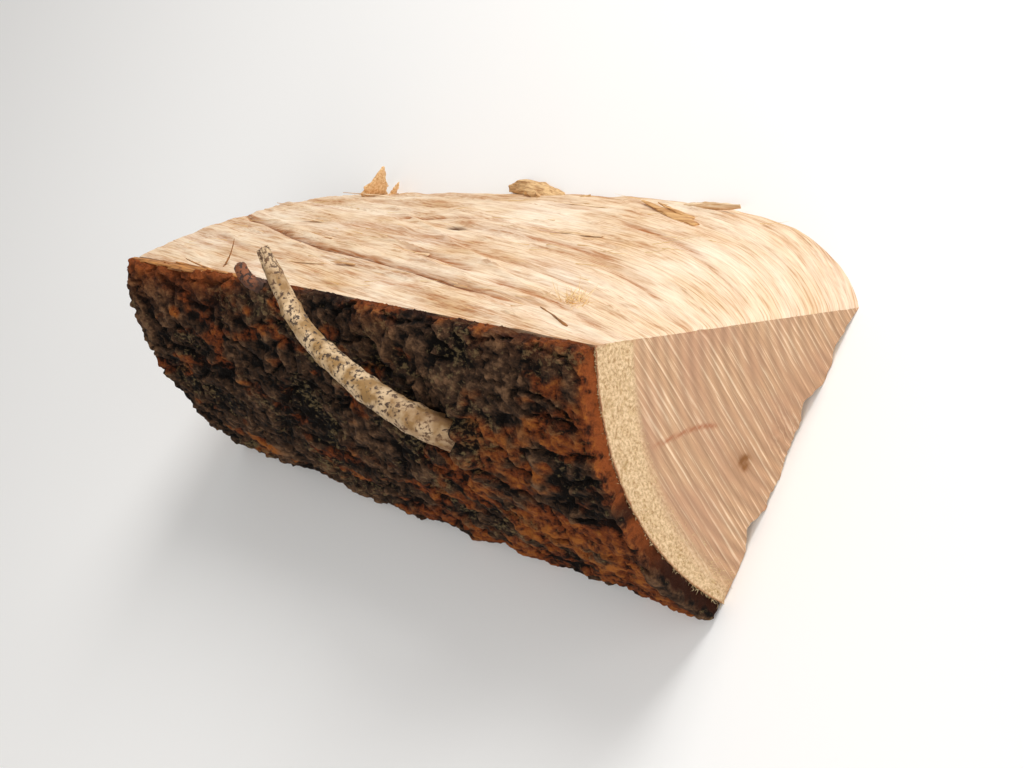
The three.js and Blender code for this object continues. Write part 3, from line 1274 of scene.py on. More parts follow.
@dataclass
class BarkLayer:
    """The bark: a thick rugged sheet round the outside of the wood."""

    trunk: Trunk
    gap: float = 0.3
    rows: int = 340
    columns: int = 120
    layers: int = 6
    plate_length: float = 30.0
    plate_width: float = 13.0
    crack_depth: float = 2.6
    thinnest: float = 2.2
    collar_place: tuple[float, float] = (87.0, 78.5)  # distance, and round the trunk
    collar_height: float = 8.0
    collar_spread: float = 14.0
    golden_stretch: tuple[float, float] = (262.0, 300.0)  # where the upper edge turns golden
    bite_place: float = 376.0  # where a bite is missing from the upper edge
    bite_depth: float = 1.8

    def collar(self, distance: np.ndarray, around: np.ndarray) -> np.ndarray:
        """How much of the swelling round the side shoot is at each point: a bell.

        Args:
            distance: from the front end.
            around: round the trunk, from the lower split face.

        Returns:
            Values from 0 to 1.
        """
        spread = (self.collar_spread, self.collar_spread)
        return bump_at(distance, around, self.collar_place, spread)

    def relief(self, distance: np.ndarray, around: np.ndarray) -> np.ndarray:
        """The bark's outside: plates parted by cracks where a wandering noise crosses zero,
        flakes at two sizes that lie on each other like steps, grit, and a wrinkled collar.

        Args:
            distance: from the front end.
            around: round the trunk, from the lower split face.

        Returns:
            Height over the mean surface, in millimetres.
        """
        wander, plate, flake = Noise(61), Noise(62), Noise(63)
        along = distance + 7 * wander.layered(distance / 26, around / 18, 2)
        over = around + 5 * wander.layered(distance / 30 + 40, around / 15 + 40, 2)
        main = plate.layered(along / self.plate_length, over / self.plate_width, 2)
        small = plate.layered(along / 12 + 60, over / 7 + 60, 2)
        height = -self.crack_depth * np.exp(-((main / 0.11) ** 2))
        height = height - 1.1 * np.exp(-((small / 0.13) ** 2))
        height = height + 1.0 * flake.layered(along / 60, over / 36, 2)
        height = height + ledges(1.5 * flake.layered(along / 14 + 20, over / 9, 3, 0.6), 1.4, 0.16)
        fine = flake.layered(distance / 4.6 + 70, around / 3.8, 2, 0.7)
        height = height + ledges(0.6 * fine, 1.6, 0.5)
        height = height + 0.4 * flake.layered(distance / 2.4, around / 2.2, 2)
        away = np.hypot(distance - self.collar_place[0], around - self.collar_place[1])
        near = self.collar(distance, around)
        wrinkles = 1.9 * np.sin(away / 1.6 + 4 * plate.at(distance / 7, around / 6)) * near
        return height * (1 - 0.15 * near) + self.collar_height * near + wrinkles

    def rustiness(
        self, distance: np.ndarray, around: np.ndarray, from_edge: np.ndarray
    ) -> np.ndarray:
        """How far the bark has broken down to rusty and golden layers: patches all over,
        most of them low near the front end, a strip along the far stretch of the upper edge,
        and the cut band of the front end's upper half.

        Args:
            distance: from the front end.
            around: round the trunk, from the lower split face.
            from_edge: from the nearer long edge.

        Returns:
            Values from 0 to 1.
        """
        patch = Noise(66)
        spots = patch.layered(distance / 26, around / 10, 3, 0.6)
        front = np.exp(-distance / 110) * (1 - 0.85 * smooth_step(around, 52, 78))
        share = 0.95 * smooth_step(spots + 1.7 * front, 0.4, 1.0)
        share = share * (1 - 0.7 * self.collar(distance, around))
        high = smooth_step(around, 70, 84)
        strip = high * smooth_step(distance, *self.golden_stretch) * np.exp(-from_edge / 7.0)
        cut = smooth_step(around, 58, 84) * np.exp(-distance / 2.0)
        share = np.where(distance < 6, share * smooth_step(around, 30, 60), share)
        from_top = np.maximum(self.trunk.wedge * self.trunk.wood_radius - around, 0)
        rim = smooth_step(patch.layered(distance / 23 + 40, 0 * around, 2), -0.1, 0.4)
        rim = np.maximum(rim, np.exp(-distance / 40)) * np.exp(-from_top / 3.5)
        return np.clip(share + 1.2 * strip + cut + rim, 0, 1)

    def long_edges(self, along: np.ndarray) -> tuple[np.ndarray, np.ndarray]:
        """Where the sheet's torn long edges run: the wedge's two faces, less a loss that
        wanders along the log.

        Args:
            along: distance of each row from the front end.

        Returns:
            The lowest and the highest angle of each row.
        """
        torn = Noise(64)
        top_loss = 0.3 + 0.7 * torn.layered(along / 13, 0 * along, 3)
        top_loss = top_loss + self.bite_depth * np.exp(-(((along - self.bite_place) / 12) ** 2))
        foot_loss = 0.8 + 0.7 * torn.layered(along / 15, 0 * along + 30, 3)
        lowest = np.maximum(foot_loss, 0.1) / self.trunk.wood_radius
        return lowest, self.trunk.wedge - np.maximum(top_loss, 0.2) / self.trunk.wood_radius

    def grid(self) -> BarkGrid:
        """The section's closed outline, carried along the log: up the outside, in through
        the upper edge, down the inside and out through the lower edge.

        Returns:
            The places of all its points.
        """
        trunk = self.trunk
        turn = np.arange(self.columns + 1) / self.columns
        through = np.arange(1, self.layers) / self.layers
        level = np.zeros(self.layers - 1)
        spin = np.concatenate([turn, level + 1, turn[::-1], level])
        depth = np.concatenate([0 * turn, through, 0 * turn + 1, through[::-1]])
        distance = np.linspace(0, trunk.length, self.rows + 1)[:, None]
        lowest, highest = (edge[:, None] for edge in self.long_edges(distance[:, 0]))
        angle = lowest + (highest - lowest) * spin[None, :]
        distance = distance + 0 * angle
        from_edge = np.minimum(angle - lowest, highest - angle) * trunk.wood_radius
        from_end = np.minimum(distance, trunk.length - distance)
        around = angle * trunk.wood_radius
        return BarkGrid(distance, angle, around, spin, depth, from_edge, from_end)

    def surface(self, grid: BarkGrid, rise: np.ndarray) -> np.ndarray:
        """The skin's points: the wood's outside plus the gap, and outwards from there the
        bark's thickness with its relief, less what is worn off its edges. The upper edge is
        lumpy and both ends are ragged.

        Args:
            grid: the places.
            rise: the relief's height.

        Returns:
            Points by row and column.
        """
        trunk, crumble = self.trunk, Noise(65)
        worn = 1.3 * np.exp(-grid.from_edge / 1.6) + 0.8 * np.exp(-grid.from_end / 2.0)
        thickness = np.maximum(trunk.bark_thickness + rise - worn, self.thinnest)
        inside = trunk.place(grid.distance, trunk.wood_radius + self.gap, grid.angle)
        level, sine, cosine = 0 * grid.angle, np.sin(grid.angle), np.cos(grid.angle)
        outward = np.stack([level, -cosine, sine], axis=-1)
        upward = np.stack([level, sine, cosine], axis=-1)
        points = inside + outward * (thickness * (1 - grid.depth[None, :]))[..., None]
        lumps = 0.9 * crumble.layered(grid.distance / 3.1, grid.depth * 4 + 60, 3, 0.6)
        on_top = (grid.spin == 1) & (grid.depth < 1)
        lumps = lumps * smooth_step(grid.distance, 0, 5) * on_top
        points += upward * lumps[..., None]
        points[..., 2] = np.maximum(points[..., 2], 0.02)
        for row, inward in self.ends():
            ragged = 0.9 + 0.8 * crumble.layered(grid.around[row] / 6, grid.depth * 3 + row, 2)
            points[row, :, 0] += inward * ragged
        return points

    def ends(self) -> tuple[tuple[int, float], tuple[int, float]]:
        """The row of each sawn end, and which way along X leads from it into the log."""
        return (0, -1.0), (self.rows, 1.0)

    def wear(self, grid: BarkGrid, rise: np.ndarray) -> dict[str, np.ndarray]:
        """What the finish reads at each point: how high it stands, which it turns into painted
        shade in the cracks and a painted highlight on the raised flakes, how much it is the inner
        bark that cuts and tears bare, and how far it has rusted.

        Args:
            grid: the places.
            rise: the relief's height.

        Returns:
            Shares from 0 to 1, by the attribute's name.
        """
        distance, around, from_edge = grid.distance, grid.around, grid.from_edge
        golden = smooth_step(distance, *self.golden_stretch)
        bare = (grid.depth > 0) | ((from_edge < 0.5) & (grid.from_end >= 0.5))
        edge = golden * smooth_step(around, 100, 112) * np.exp(-from_edge / 7.0)
        inner = np.where(bare, 1.0, edge)
        on_top = (grid.spin == 1) & (grid.depth < 1)
        top_inner = 0.45 + 0.55 * golden + np.exp(-distance / 6)
        inner = np.where(on_top, np.clip(top_inner, 0, 1), inner)
        mound = self.collar_height * self.collar(distance, around)
        # height for the finish's painted shade in the cracks and painted highlight on the flakes, without
        # the collar's swelling
        tone = np.clip((rise - 1.1 * mound + 4.0) / 8.0, 0, 1)
        return {"height": tone, "inner": inner, "rust": self.rustiness(distance, around, from_edge)}

    def end_face(
        self, points: np.ndarray, rust: np.ndarray, row: int, inward: float, start: int
    ) -> tuple[np.ndarray, np.ndarray, dict[str, np.ndarray]]:
        """Closes one sawn end with a gritty grid through the bark's thickness, straight from
        the outside to the inside.

        Args:
            points: the skin's points by row and column.
            rust: how far each of them has rusted.
            row: the end's row.
            inward: which way along X leads into the log.
            start: the number that the first new point will have.

        Returns:
            The new points, the grid of vertex numbers over the end, and the attributes of
            the new points.
        """
        columns, layers, width = self.columns, self.layers, points.shape[1]
        face = np.zeros((columns + 1, layers + 1), int)
        face[:, 0] = np.arange(columns + 1)
        face[-1, :] = columns + np.arange(layers + 1)
        face[:, -1] = (columns + layers) + np.arange(columns + 1)[::-1]
        face[0, 1:] = width - np.arange(1, layers + 1)
        share = (np.arange(layers + 1) / layers)[None, :]
        outer, inner = points[row, face[:, 0]], points[row, face[:, -1]]
        filled = outer[:, None] * (1 - share[..., None]) + inner[:, None] * share[..., None]
        turn = np.arange(columns + 1)[:, None] / columns
        grit = Noise(65).layered(turn * 50, share * 4 + 9 + row, 2)
        filled[..., 0] += inward * 0.7 * grit
        middle = np.s_[1:-1, 1:-1]
        face = face + row * width
        face[middle] = start + np.arange((columns - 1) * (layers - 1)).reshape(columns - 1, -1)
        values = {
            "height": 0.5 + 0.4 * grit,
            "inner": smooth_step(share + 0.35 * grit, 0.12, 0.45),
            "rust": rust[row, : columns + 1][:, None] + 0 * grit,
        }
        held = {label: value[middle].ravel() for label, value in values.items()}
        return filled[middle].reshape(-1, 3), face, held

    def build(self) -> bpy.types.Object:
        """Makes the skin, closes both ends, and dresses the sheet.

        Returns:
            The bark.
        """
        grid = self.grid()
        rise = self.relief(grid.distance, grid.around)
        rise = rise * (0.45 + 0.55 * smooth_step(grid.distance, 0, 7))
        skin, values = self.surface(grid, rise), self.wear(grid, rise)
        index = np.arange(skin.shape[0] * skin.shape[1]).reshape(skin.shape[:2])
        points, blocks = [skin.reshape(-1, 3)], [grid_quads(index, wrap=True)]
        held = {label: [value.ravel()] for label, value in values.items()}
        for row, inward in self.ends():
            start = sum(len(block) for block in points)
            filled, face, own = self.end_face(skin, values["rust"], row, inward, start)
            points.append(filled)
            blocks.append(grid_quads(face))
            for label, value in own.items():
                held[label].append(value)
        attributes = {label: np.concatenate(parts) for label, parts in held.items()}
        bark = mesh_object("rugged_bark", np.concatenate(points), blocks, attributes, sharp_angle=40)
        bark.data.materials.append(RuggedBark().build())
        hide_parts("bark")
        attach(bark, "root")
        return bark


# ----- The side shoot and the stub -----


def smooth_path(points: np.ndarray, count: int) -> np.ndarray:
    """A smooth curve through points: cubic stretches whose slope at each point is that of
    the line between its neighbours, read at even steps of the chord length.

    Args:
        points: the points, one row each.
        count: how many points the curve gets.

    Returns:
        The curve's points.
    """
    chord = np.concatenate([[0], np.cumsum(np.linalg.norm(np.diff(points, axis=0), axis=1))])
    slope = np.gradient(points, chord, axis=0)
    at = np.linspace(0, chord[-1], count)
    cell = np.clip(np.searchsorted(chord, at, side="right") - 1, 0, len(points) - 2)
    size = (chord[cell + 1] - chord[cell])[:, None]
    t = ((at - chord[cell]) / size[:, 0])[:, None]
    start, end = points[cell], points[cell + 1]
    lead, trail = slope[cell] * size, slope[cell + 1] * size
    return (
        (2 * t**3 - 3 * t**2 + 1) * start
        + (t**3 - 2 * t**2 + t) * lead
        + (3 * t**2 - 2 * t**3) * end
        + (t**3 - t**2) * trail
    )


def tube_frames(centres: np.ndarray, side_hint: np.ndarray) -> tuple[np.ndarray, np.ndarray]:
    """Two directions square to a path at each of its points.

    Args:
        centres: the path's points.
        side_hint: a direction that the first of the two keeps close to.

    Returns:
        The two directions, one row per point.
    """
    forward = np.gradient(centres, axis=0)
    forward /= np.linalg.norm(forward, axis=1, keepdims=True)
    side = side_hint - forward * (forward @ side_hint)[:, None]
    side /= np.linalg.norm(side, axis=1, keepdims=True)
    return side, np.cross(forward, side)


def close_tube(rings: np.ndarray) -> tuple[np.ndarray, list[np.ndarray]]:
    """Faces over a tube of rings, with a centre point closing each end.

    Args:
        rings: ring by side by three.

    Returns:
        The points with the two centres added, and the face blocks.
    """
    count, sides = rings.shape[:2]
    index = np.arange(count * sides).reshape(count, sides)
    points = np.concatenate([rings.reshape(-1, 3), [rings[0].mean(0)], [rings[-1].mean(0)]])
    blocks = [grid_quads(index, wrap=True)]
    for ring, centre in ((index[0], count * sides), (index[-1], count * sides + 1)):
        fan = np.stack([ring, np.roll(ring, -1), np.full(sides, centre)], axis=-1)
        blocks.append(fan)
    return points, blocks


@dataclass
class Shoot:
    """A dead shoot that grows out of the wood through the bark."""

    trunk: Trunk
    name: str
    node: str
    material_slot: str
    path: tuple[tuple[float, float, float], ...]  # distance, across and height from the pith
    radii: tuple[float, float, float]  # at the base, the middle and the tip
    finish: TwigBark
    seed: int
    rings: int = 240
    sides: int = 44
    collar_length: float = 15.0
    collar_flare: float = 2.4
    scars: tuple[float, ...] = (0.27, 0.44, 0.62, 0.8)  # old bud scars, as shares of the length

    def thickness(self, along: np.ndarray, share: np.ndarray) -> np.ndarray:
        """The shoot's radius: it falls from base to tip, swells at the scars, and flares
        into the collar.

        Args:
            along: way from the base, in millimetres.
            share: the same as a share of the length.

        Returns:
            The radius at each place.
        """
        base, middle, tip = self.radii
        radius = np.interp(share, [0, 0.5, 0.93, 1], [base, middle, tip * 1.25, tip * 0.85])
        radius = radius + self.collar_flare * np.exp(-along / self.collar_length) * (base / 7)
        for scar in self.scars:
            radius = radius + 0.09 * base * np.exp(-(((share - scar) * along[-1] / 2.2) ** 2))
        return radius

    def build(self) -> bpy.types.Object:
        """Carries a wrinkled circle along the shoot's path, up to a torn tip, and dresses it.

        Returns:
            The shoot.
        """
        raw = np.array(self.path)
        seat = np.array([self.trunk.front, self.trunk.pith_across, 0.0])
        corners = seat + raw * np.array([-1.0, 1.0, 1.0])
        centres = smooth_path(corners, self.rings)
        length = float(np.linalg.norm(np.diff(centres, axis=0), axis=1).sum())
        along = np.linspace(0, length, self.rings)
        share = along / length
        rough = Noise(self.seed)
        sway = np.stack([rough.at(along / 30, 0 * along + 10 * k) for k in range(3)], axis=-1)
        centres = centres + 0.9 * sway * smooth_step(share, 0.15, 0.4)[:, None]
        side, up = tube_frames(centres, np.array([0.0, 0.0, 1.0]))
        turn = 2 * np.pi * np.arange(self.sides)[None, :] / self.sides
        ring_x, ring_y = np.cos(turn), np.sin(turn)
        reach = along[:, None]
        wrinkle = 0.05 * rough.layered(3 * ring_x + reach / 26, 3 * ring_y + 9, 2)
        wrinkle = wrinkle + 0.045 * rough.layered(5 * ring_x + reach / 2.6, 5 * ring_y + 30, 2)
        at_collar = np.exp(-reach / self.collar_length)
        wrinkle = wrinkle + 0.16 * at_collar * rough.layered(
            2 * ring_x + reach / 7, 2 * ring_y + 60, 2
        )
        torn = 0.35 * rough.layered(3 * ring_x + 70, 3 * ring_y + 70, 2)
        wrinkle = wrinkle + torn * smooth_step(share, 0.93, 1.0)[:, None]
        size = self.thickness(along, share)[:, None] * (1 + wrinkle)
        rings = (
            centres[:, None]
            + side[:, None] * (size * ring_x)[..., None]
            + up[:, None] * (size * ring_y)[..., None]
        )
        points, blocks = close_tube(rings)
        near = 0.8 * np.exp(-along / (1.6 * self.collar_length)) + 0.5 * smooth_step(share, 0.7, 1.0)
        near = near + 0.5 * (1 - smooth_step(share, 0.1, 0.45))
        near = near[:, None] * (1 + 0.6 * rough.layered(2 * ring_x + reach / 9, 2 * ring_y, 2))
        attributes = {"collar": np.concatenate([near.ravel(), [1.0, 0.0]])}
        shoot = mesh_object(self.name, points, blocks, attributes)
        shoot.data.materials.append(self.finish.build(self.name + "_bark"))
        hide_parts(self.node)
        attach(shoot, "root")
        return shoot


# ----- Splinters and loose fibres: torn parts of the wood that stand off its faces -----


@dataclass(frozen=True)
class LooseWood:
    """Thin torn wood: the colour of the split face or browner. It is matt, because its
    broken fibres scatter the light, and its tone runs in lines along the fibres."""

    light: str = "#F0D6B2"
    dark: str = "#C4935E"
    fibre_mm: float = 1.2
    fibre_run: float = 18.0  # how many times longer than wide a fibre is
    relief_mm: float = 0.4

    def build(self, name: str) -> bpy.types.Material:
        """Makes the material from noise stretched along the fibres.

        Args:
            name: the material's name.

        Returns:
            The material.
        """
        material, tree, shader = new_material(name)
        place = add_node(tree, "ShaderNodeTexCoord").outputs["Object"]
        along = 1 / (self.fibre_mm * self.fibre_run * MM)
        across = 1 / (self.fibre_mm * MM)
        stretched = add_node(
            tree, "ShaderNodeVectorMath", {0: place, 1: (along, across, across)}, operation="MULTIPLY"
        )
        fibres = add_node(
            tree,
            "ShaderNodeTexNoise",
            {"Vector": stretched.outputs[0], "Scale": 1.0, "Detail": 3.0, "Roughness": 0.6},
        ).outputs["Fac"]
        colour = add_node(
            tree, "ShaderNodeValToRGB", {"Fac": fibres}, stops=[(0.34, self.dark), (0.6, self.light)]
        )
        tree.links.new(colour.outputs[0], shader.inputs["Base Color"])
        bump = add_node(
            tree, "ShaderNodeBump", {"Height": fibres, "Distance": self.relief_mm * MM, "Strength": 0.6}
        )
        tree.links.new(bump.outputs[0], shader.inputs["Normal"])
        shader.inputs["Roughness"].default_value = 0.75
        return material


@dataclass(frozen=True)
class Splinter:
    """A torn strip on the upper split face: where it starts, and how it lies."""

    root: tuple[float, float]  # distance from the front end, and place from the bark edge
    length: float
    width: float
    thickness: float
    heading: float = 0.0  # degrees from the far end, towards the ridge
    lean: float = 4.0  # degrees off the face at its root
    curl: float = 0.0  # how many more degrees it leans by its tip
    shape: float = 1.0  # how evenly it narrows: 1 is a straight taper, less keeps it wide


@dataclass
class TornWood:
    """Splinters, thin fibres and saw felt, each kind one piece."""

    trunk: Trunk
    grain_width: float = 150.0

    def face(self, distance: np.ndarray, place: np.ndarray) -> tuple[np.ndarray, ...]:
        """Points of the plain upper face, its outward normals, and the direction across it
        towards the ridge.

        Args:
            distance: from the front end.
            place: across the grain, from the bark edge.

        Returns:
            Points, normals and across directions.
        """

        def at(d: np.ndarray, p: np.ndarray) -> np.ndarray:
            """The face's point at a distance and a place."""
            radius = (1 - p / self.grain_width) * self.trunk.wood_radius
            return self.trunk.place(d, radius, np.array(self.trunk.wedge))

        point = at(distance, place)
        along = at(distance - 1, place) - at(distance + 1, place)
        across = at(distance, place + 1) - at(distance, place - 1)
        across = across / np.linalg.norm(across, axis=-1, keepdims=True)
        normal = np.cross(along, across)
        normal = normal / np.linalg.norm(normal, axis=-1, keepdims=True)
        return point, normal * np.sign(normal[..., 2:3]), across

    def splinter_rings(self, strip: Splinter, seed: int) -> np.ndarray:
        """A strip carried along a bending path: a flattened circle whose width narrows to a
        torn point, lifting off the face as it goes.

        Args:
            strip: what to make.
            seed: its own random relief.

        Returns:
            Rings of points.
        """
        steps, sides = 30, 12
        point, normal, across = self.face(np.array(strip.root[0]), np.array(strip.root[1]))
        heading = math.radians(strip.heading)
        back = np.array([-1.0, 0.0, 0.0])
        forward = back * math.cos(heading) + across * math.sin(heading)
        share = np.linspace(0, 1, steps)
        lean = np.radians(strip.lean + strip.curl * share)
        step = strip.length / (steps - 1)
        rise = np.concatenate([[0], np.cumsum(np.sin(lean[1:]))]) * step
        run = np.concatenate([[0], np.cumsum(np.cos(lean[1:]))]) * step
        start = point - normal * 0.4 * strip.thickness
        centres = start + forward * run[:, None] + normal * rise[:, None]
        side = np.cross(forward, normal)
        side = side / np.linalg.norm(side)
        up = np.cross(side, np.gradient(centres, axis=0))
        up = up / np.linalg.norm(up, axis=1, keepdims=True)
        rough = Noise(seed)
        taper = np.maximum(1 - share, 0.02) ** strip.shape
        blunt = smooth_step(share, -0.12, 0.1)
        half_width = 0.5 * strip.width * taper * blunt
        half_width = half_width * (1 + 0.25 * rough.at(share * 9, 0 * share))
        half_thick = 0.5 * strip.thickness * np.maximum(taper, 0.15) ** 0.5 * blunt
        turn = 2 * np.pi * np.arange(sides)[None, :] / sides
        ripple = 1 + 0.22 * rough.layered(2 * np.cos(turn) + 20, share[:, None] * 7 + 3 * np.sin(turn), 2)
        flat_x = np.sign(np.cos(turn)) * np.abs(np.cos(turn)) ** 0.7
        flat_y = np.sign(np.sin(turn)) * np.abs(np.sin(turn)) ** 0.7
        return (
            centres[:, None]
            + side * (half_width[:, None] * flat_x * ripple)[..., None]
            + up[:, None] * (half_thick[:, None] * flat_y * ripple)[..., None]
        )

    def splinter_piece(
        self, name: str, strips: list[Splinter], finish: LooseWood, seed: int
    ) -> bpy.types.Object:
        """Makes several splinters as one piece.

        Args:
            name: the piece's name.
            strips: the splinters.
            finish: their finish.
            seed: random relief of the first; the others follow on.

        Returns:
            The piece.
        """
        points, blocks, count = [], [], 0
        for number, strip in enumerate(strips):
            own, faces = close_tube(self.splinter_rings(strip, seed + number))
            points.append(own)
            blocks += [block + count for block in faces]
            count += len(own)
        return self.finished(name, np.concatenate(points), blocks, finish)

    def finished(
        self, name: str, points: np.ndarray, blocks: list[np.ndarray], finish: LooseWood
    ) -> bpy.types.Object:
        """Makes and dresses a piece of torn wood, no lower than the floor.

        Args:
            name: the piece's name.
            points: its vertices in millimetres.
            blocks: its faces.
            finish: its finish.

        Returns:
            The piece.
        """
        points[:, 2] = np.maximum(points[:, 2], 0.05)
        piece = mesh_object(name, points, blocks)
        piece.data.materials.append(finish.build(name + "_wood"))
        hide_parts("wood")
        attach(piece, "root")
        return piece

    def hairs(
        self,
        roots: np.ndarray,
        directions: np.ndarray,
        lengths: np.ndarray,
        widths: np.ndarray,
        curls: np.ndarray,
    ) -> tuple[np.ndarray, list[np.ndarray]]:
        """Thin curved fibres: a three-sided tube that leaves its root along a direction,
        bends by the square of the way it has gone, and narrows to its tip.

        Args:
            roots: where each starts.
            directions: unit vectors.
            lengths: in millimetres.
            widths: across each at its root.
            curls: the sideways vector that each has moved by at its tip.

        Returns:
            Points and face blocks of all of them.
        """
        rings, sides = 6, 3
        share = np.linspace(0, 1, rings)[None, :, None]
        centres = roots[:, None] + directions[:, None] * lengths[:, None, None] * share
        centres = centres + curls[:, None] * share**2
        side = np.cross(directions, np.array([0.31, 0.17, 0.93]))
        side = side / np.maximum(np.linalg.norm(side, axis=1, keepdims=True), 1e-6)
        up = np.cross(directions, side)
        turn = 2 * np.pi * np.arange(sides) / sides
        circle = (
            side[:, None, None] * np.cos(turn)[None, None, :, None]
            + up[:, None, None] * np.sin(turn)[None, None, :, None]
        )
        radius = 0.5 * widths[:, None, None, None] * (1 - 0.85 * share[..., None])
        points = (centres[:, :, None] + circle * radius).reshape(-1, 3)
        each = rings * sides
        index = np.arange(each).reshape(rings, sides)
        start = (np.arange(len(roots)) * each)[:, None, None]
        quads = (grid_quads(index, wrap=True)[None] + start).reshape(-1, 4)
        caps = np.stack([index[0], index[-1]])
        caps = (caps[None] + start).reshape(-1, 3)
        return points, [quads, caps]

    def face_fibres(self) -> bpy.types.Object:
        """Loose fibres all over the upper face, most of them lying along the grain, with a
        curly clump of sawdust fibres near the front.

        Returns:
            The piece.
        """
        random = np.random.default_rng(71)
        many, clump = 120, 60
        distance = random.uniform(70, self.trunk.length - 6, many)
        place = random.uniform(3, self.grain_width - 4, many)
        distance = np.concatenate([distance, 60 + random.normal(0, 5.0, clump)])
        place = np.concatenate([place, 33 + random.normal(0, 2.6, clump)])
        point, normal, across = self.face(distance, place)
        total = many + clump
        loose = np.arange(total) >= many
        heading = np.where(loose, random.uniform(-np.pi, np.pi, total), random.normal(-0.06, 0.07, total))
        heading = heading + np.where(random.random(total) < 0.5, 0, np.pi)
        lean = np.where(loose, random.uniform(0.1, 0.9, total), random.uniform(0.0, 0.12, total))
        back = np.array([-1.0, 0.0, 0.0])
        flat = back * np.cos(heading)[:, None] + across * np.sin(heading)[:, None]
        direction = flat * np.cos(lean)[:, None] + normal * np.sin(lean)[:, None]
        length = np.where(loose, random.uniform(3, 8, total), random.uniform(5, 22, total))
        width = random.uniform(0.25, 0.5, total)
        curl = normal * random.uniform(-0.1, 0.12, total)[:, None] * length[:, None]
        curl = curl + across * random.normal(0, 0.06, total)[:, None] * length[:, None]
        curl = curl + np.where(loose[:, None], random.normal(0, 2.2, (total, 3)), 0)
        points, blocks = self.hairs(point + normal * 0.3, direction, length, width, curl)
        return self.finished("loose_fibres", points, blocks, LooseWood("#F3D9A8", "#D2A25E", 2.5))

    def saw_felt(self) -> bpy.types.Object:
        """The felt that a saw leaves: short fibres standing out of the sapwood's cut end and
        along the cut's edges, longest at the lower corner by the bark.

        Returns:
            The piece.
        """
        random = np.random.default_rng(72)
        band, rim, corner, edge = 1400, 1400, 90, 120
        trunk = self.trunk
        angle = np.concatenate(
            [
                random.uniform(0.01, trunk.wedge - 0.01, band),
                (trunk.wedge - 0.02) * random.random(rim) ** 1.15 + 0.01,
                random.uniform(0.0, 0.13, corner),
                np.full(edge, trunk.wedge - 0.004),
            ]
        )
        share = np.concatenate(
            [
                random.uniform(0.872, 0.985, band),
                random.uniform(0.955, 1.004, rim),
                random.uniform(0.9, 1.01, corner),
                random.uniform(0.05, 0.98, edge),
            ]
        )
        total = len(angle)
        point = trunk.place(np.zeros(total), share * trunk.wood_radius, angle)
        point[:, 0] -= 0.9
        outward = np.stack([0 * angle, -np.cos(angle), np.sin(angle)], axis=-1)
        ahead = np.array([1.0, 0.0, 0.0])
        tilt = random.normal(0, 0.75, (total, 3))
        direction = ahead + tilt + outward * np.where(share > 0.97, 0.8, 0.0)[:, None]
        direction[:, 0] = np.abs(direction[:, 0]) * 0.6 + 0.12
        direction = direction / np.linalg.norm(direction, axis=1, keepdims=True)
        long_one = np.arange(total) >= band + rim
        length = random.uniform(0.4, 1.35, total) + np.where(long_one, random.uniform(0, 1.6, total), 0)
        length[-edge:] = random.uniform(0.4, 1.3, edge)
        width = random.uniform(0.18, 0.34, total)
        curl = random.normal(0, 0.35, (total, 3)) * length[:, None]
        points, blocks = self.hairs(point, direction, length, width, curl)
        return self.finished("saw_felt", points, blocks, LooseWood("#E6D0A2", "#B8985F", 2.0))

    def build(self) -> list[bpy.types.Object]:
        """Makes every piece of torn wood.

        Returns:
            The pieces.
        """
        random = np.random.default_rng(73)
        lying = [
            Splinter(
                (float(random.uniform(30, 360)), float(random.uniform(8, 140))),
                float(random.uniform(14, 46)),
                float(random.uniform(1.0, 2.4)),
                float(random.uniform(0.5, 1.1)),
                heading=float(random.normal(-5, 2.5)),
                lean=float(random.uniform(0.2, 2)),
                curl=float(random.uniform(-2, 4)),
                shape=0.7,
            )
            for _ in range(18)
        ]
        lying.append(Splinter((130, 145), 42, 2.5, 4.5, heading=182, lean=7, curl=-4, shape=0.6))
        standing = [
            Splinter((380, 138), 19, 18, 3.0, heading=164, lean=52, curl=14, shape=0.6),
            Splinter((365, 141), 9, 7, 1.8, heading=160, lean=48, curl=10, shape=0.7),
        ]
        chip = [
            Splinter((221, 145), 46, 12, 9.0, heading=3, lean=14, curl=-16, shape=0.4),
            Splinter((231, 147), 34, 12, 8.0, heading=2, lean=32, curl=-44, shape=0.36),
            Splinter((210, 142), 16, 6, 2.5, heading=176, lean=8, curl=6),
        ]
        flat = [
            Splinter((96, 126), 58, 5.4, 1.6, heading=15, lean=2, curl=3, shape=0.45),
            Splinter((104, 131), 34, 3.4, 1.2, heading=12, lean=4, curl=4, shape=0.6),
        ]
        dark = [
            Splinter((36, 13), 33, 1.3, 1.2, heading=18, lean=4, curl=-2, shape=0.5),
            Splinter((314, 4), 18, 0.75, 0.8, heading=64, lean=12, curl=34, shape=0.5),
        ]
        edge = [
            Splinter((318, -3.5), 80, 8, 3.0, heading=-1, lean=0.5, curl=0, shape=0.3),
            Splinter((286, -1.0), 66, 4.2, 1.8, heading=-2, lean=1, curl=1, shape=0.4),
            Splinter((300, -2.0), 30, 1.6, 1.0, heading=-14, lean=6, curl=10, shape=0.6),
        ]
        brown = LooseWood("#A8703A", "#5E3A1C", 1.6)
        return [
            self.splinter_piece("lying_splinters", lying, LooseWood(), 101),
            self.splinter_piece("standing_splinter", standing, LooseWood("#F2D2A2", "#CF9A5C"), 201),
            self.splinter_piece("ridge_chip", chip, LooseWood("#E2BB85", "#A67442"), 221),
            self.splinter_piece("flat_splinter", flat, LooseWood("#DDAE72", "#A9713C"), 241),
            self.splinter_piece("dark_splinters", dark, brown, 261),
            self.splinter_piece("edge_strips", edge, LooseWood("#C88846", "#70401C", 1.4), 281),
            self.face_fibres(),
            self.saw_felt(),
        ]


# ----- Floor, light and camera -----


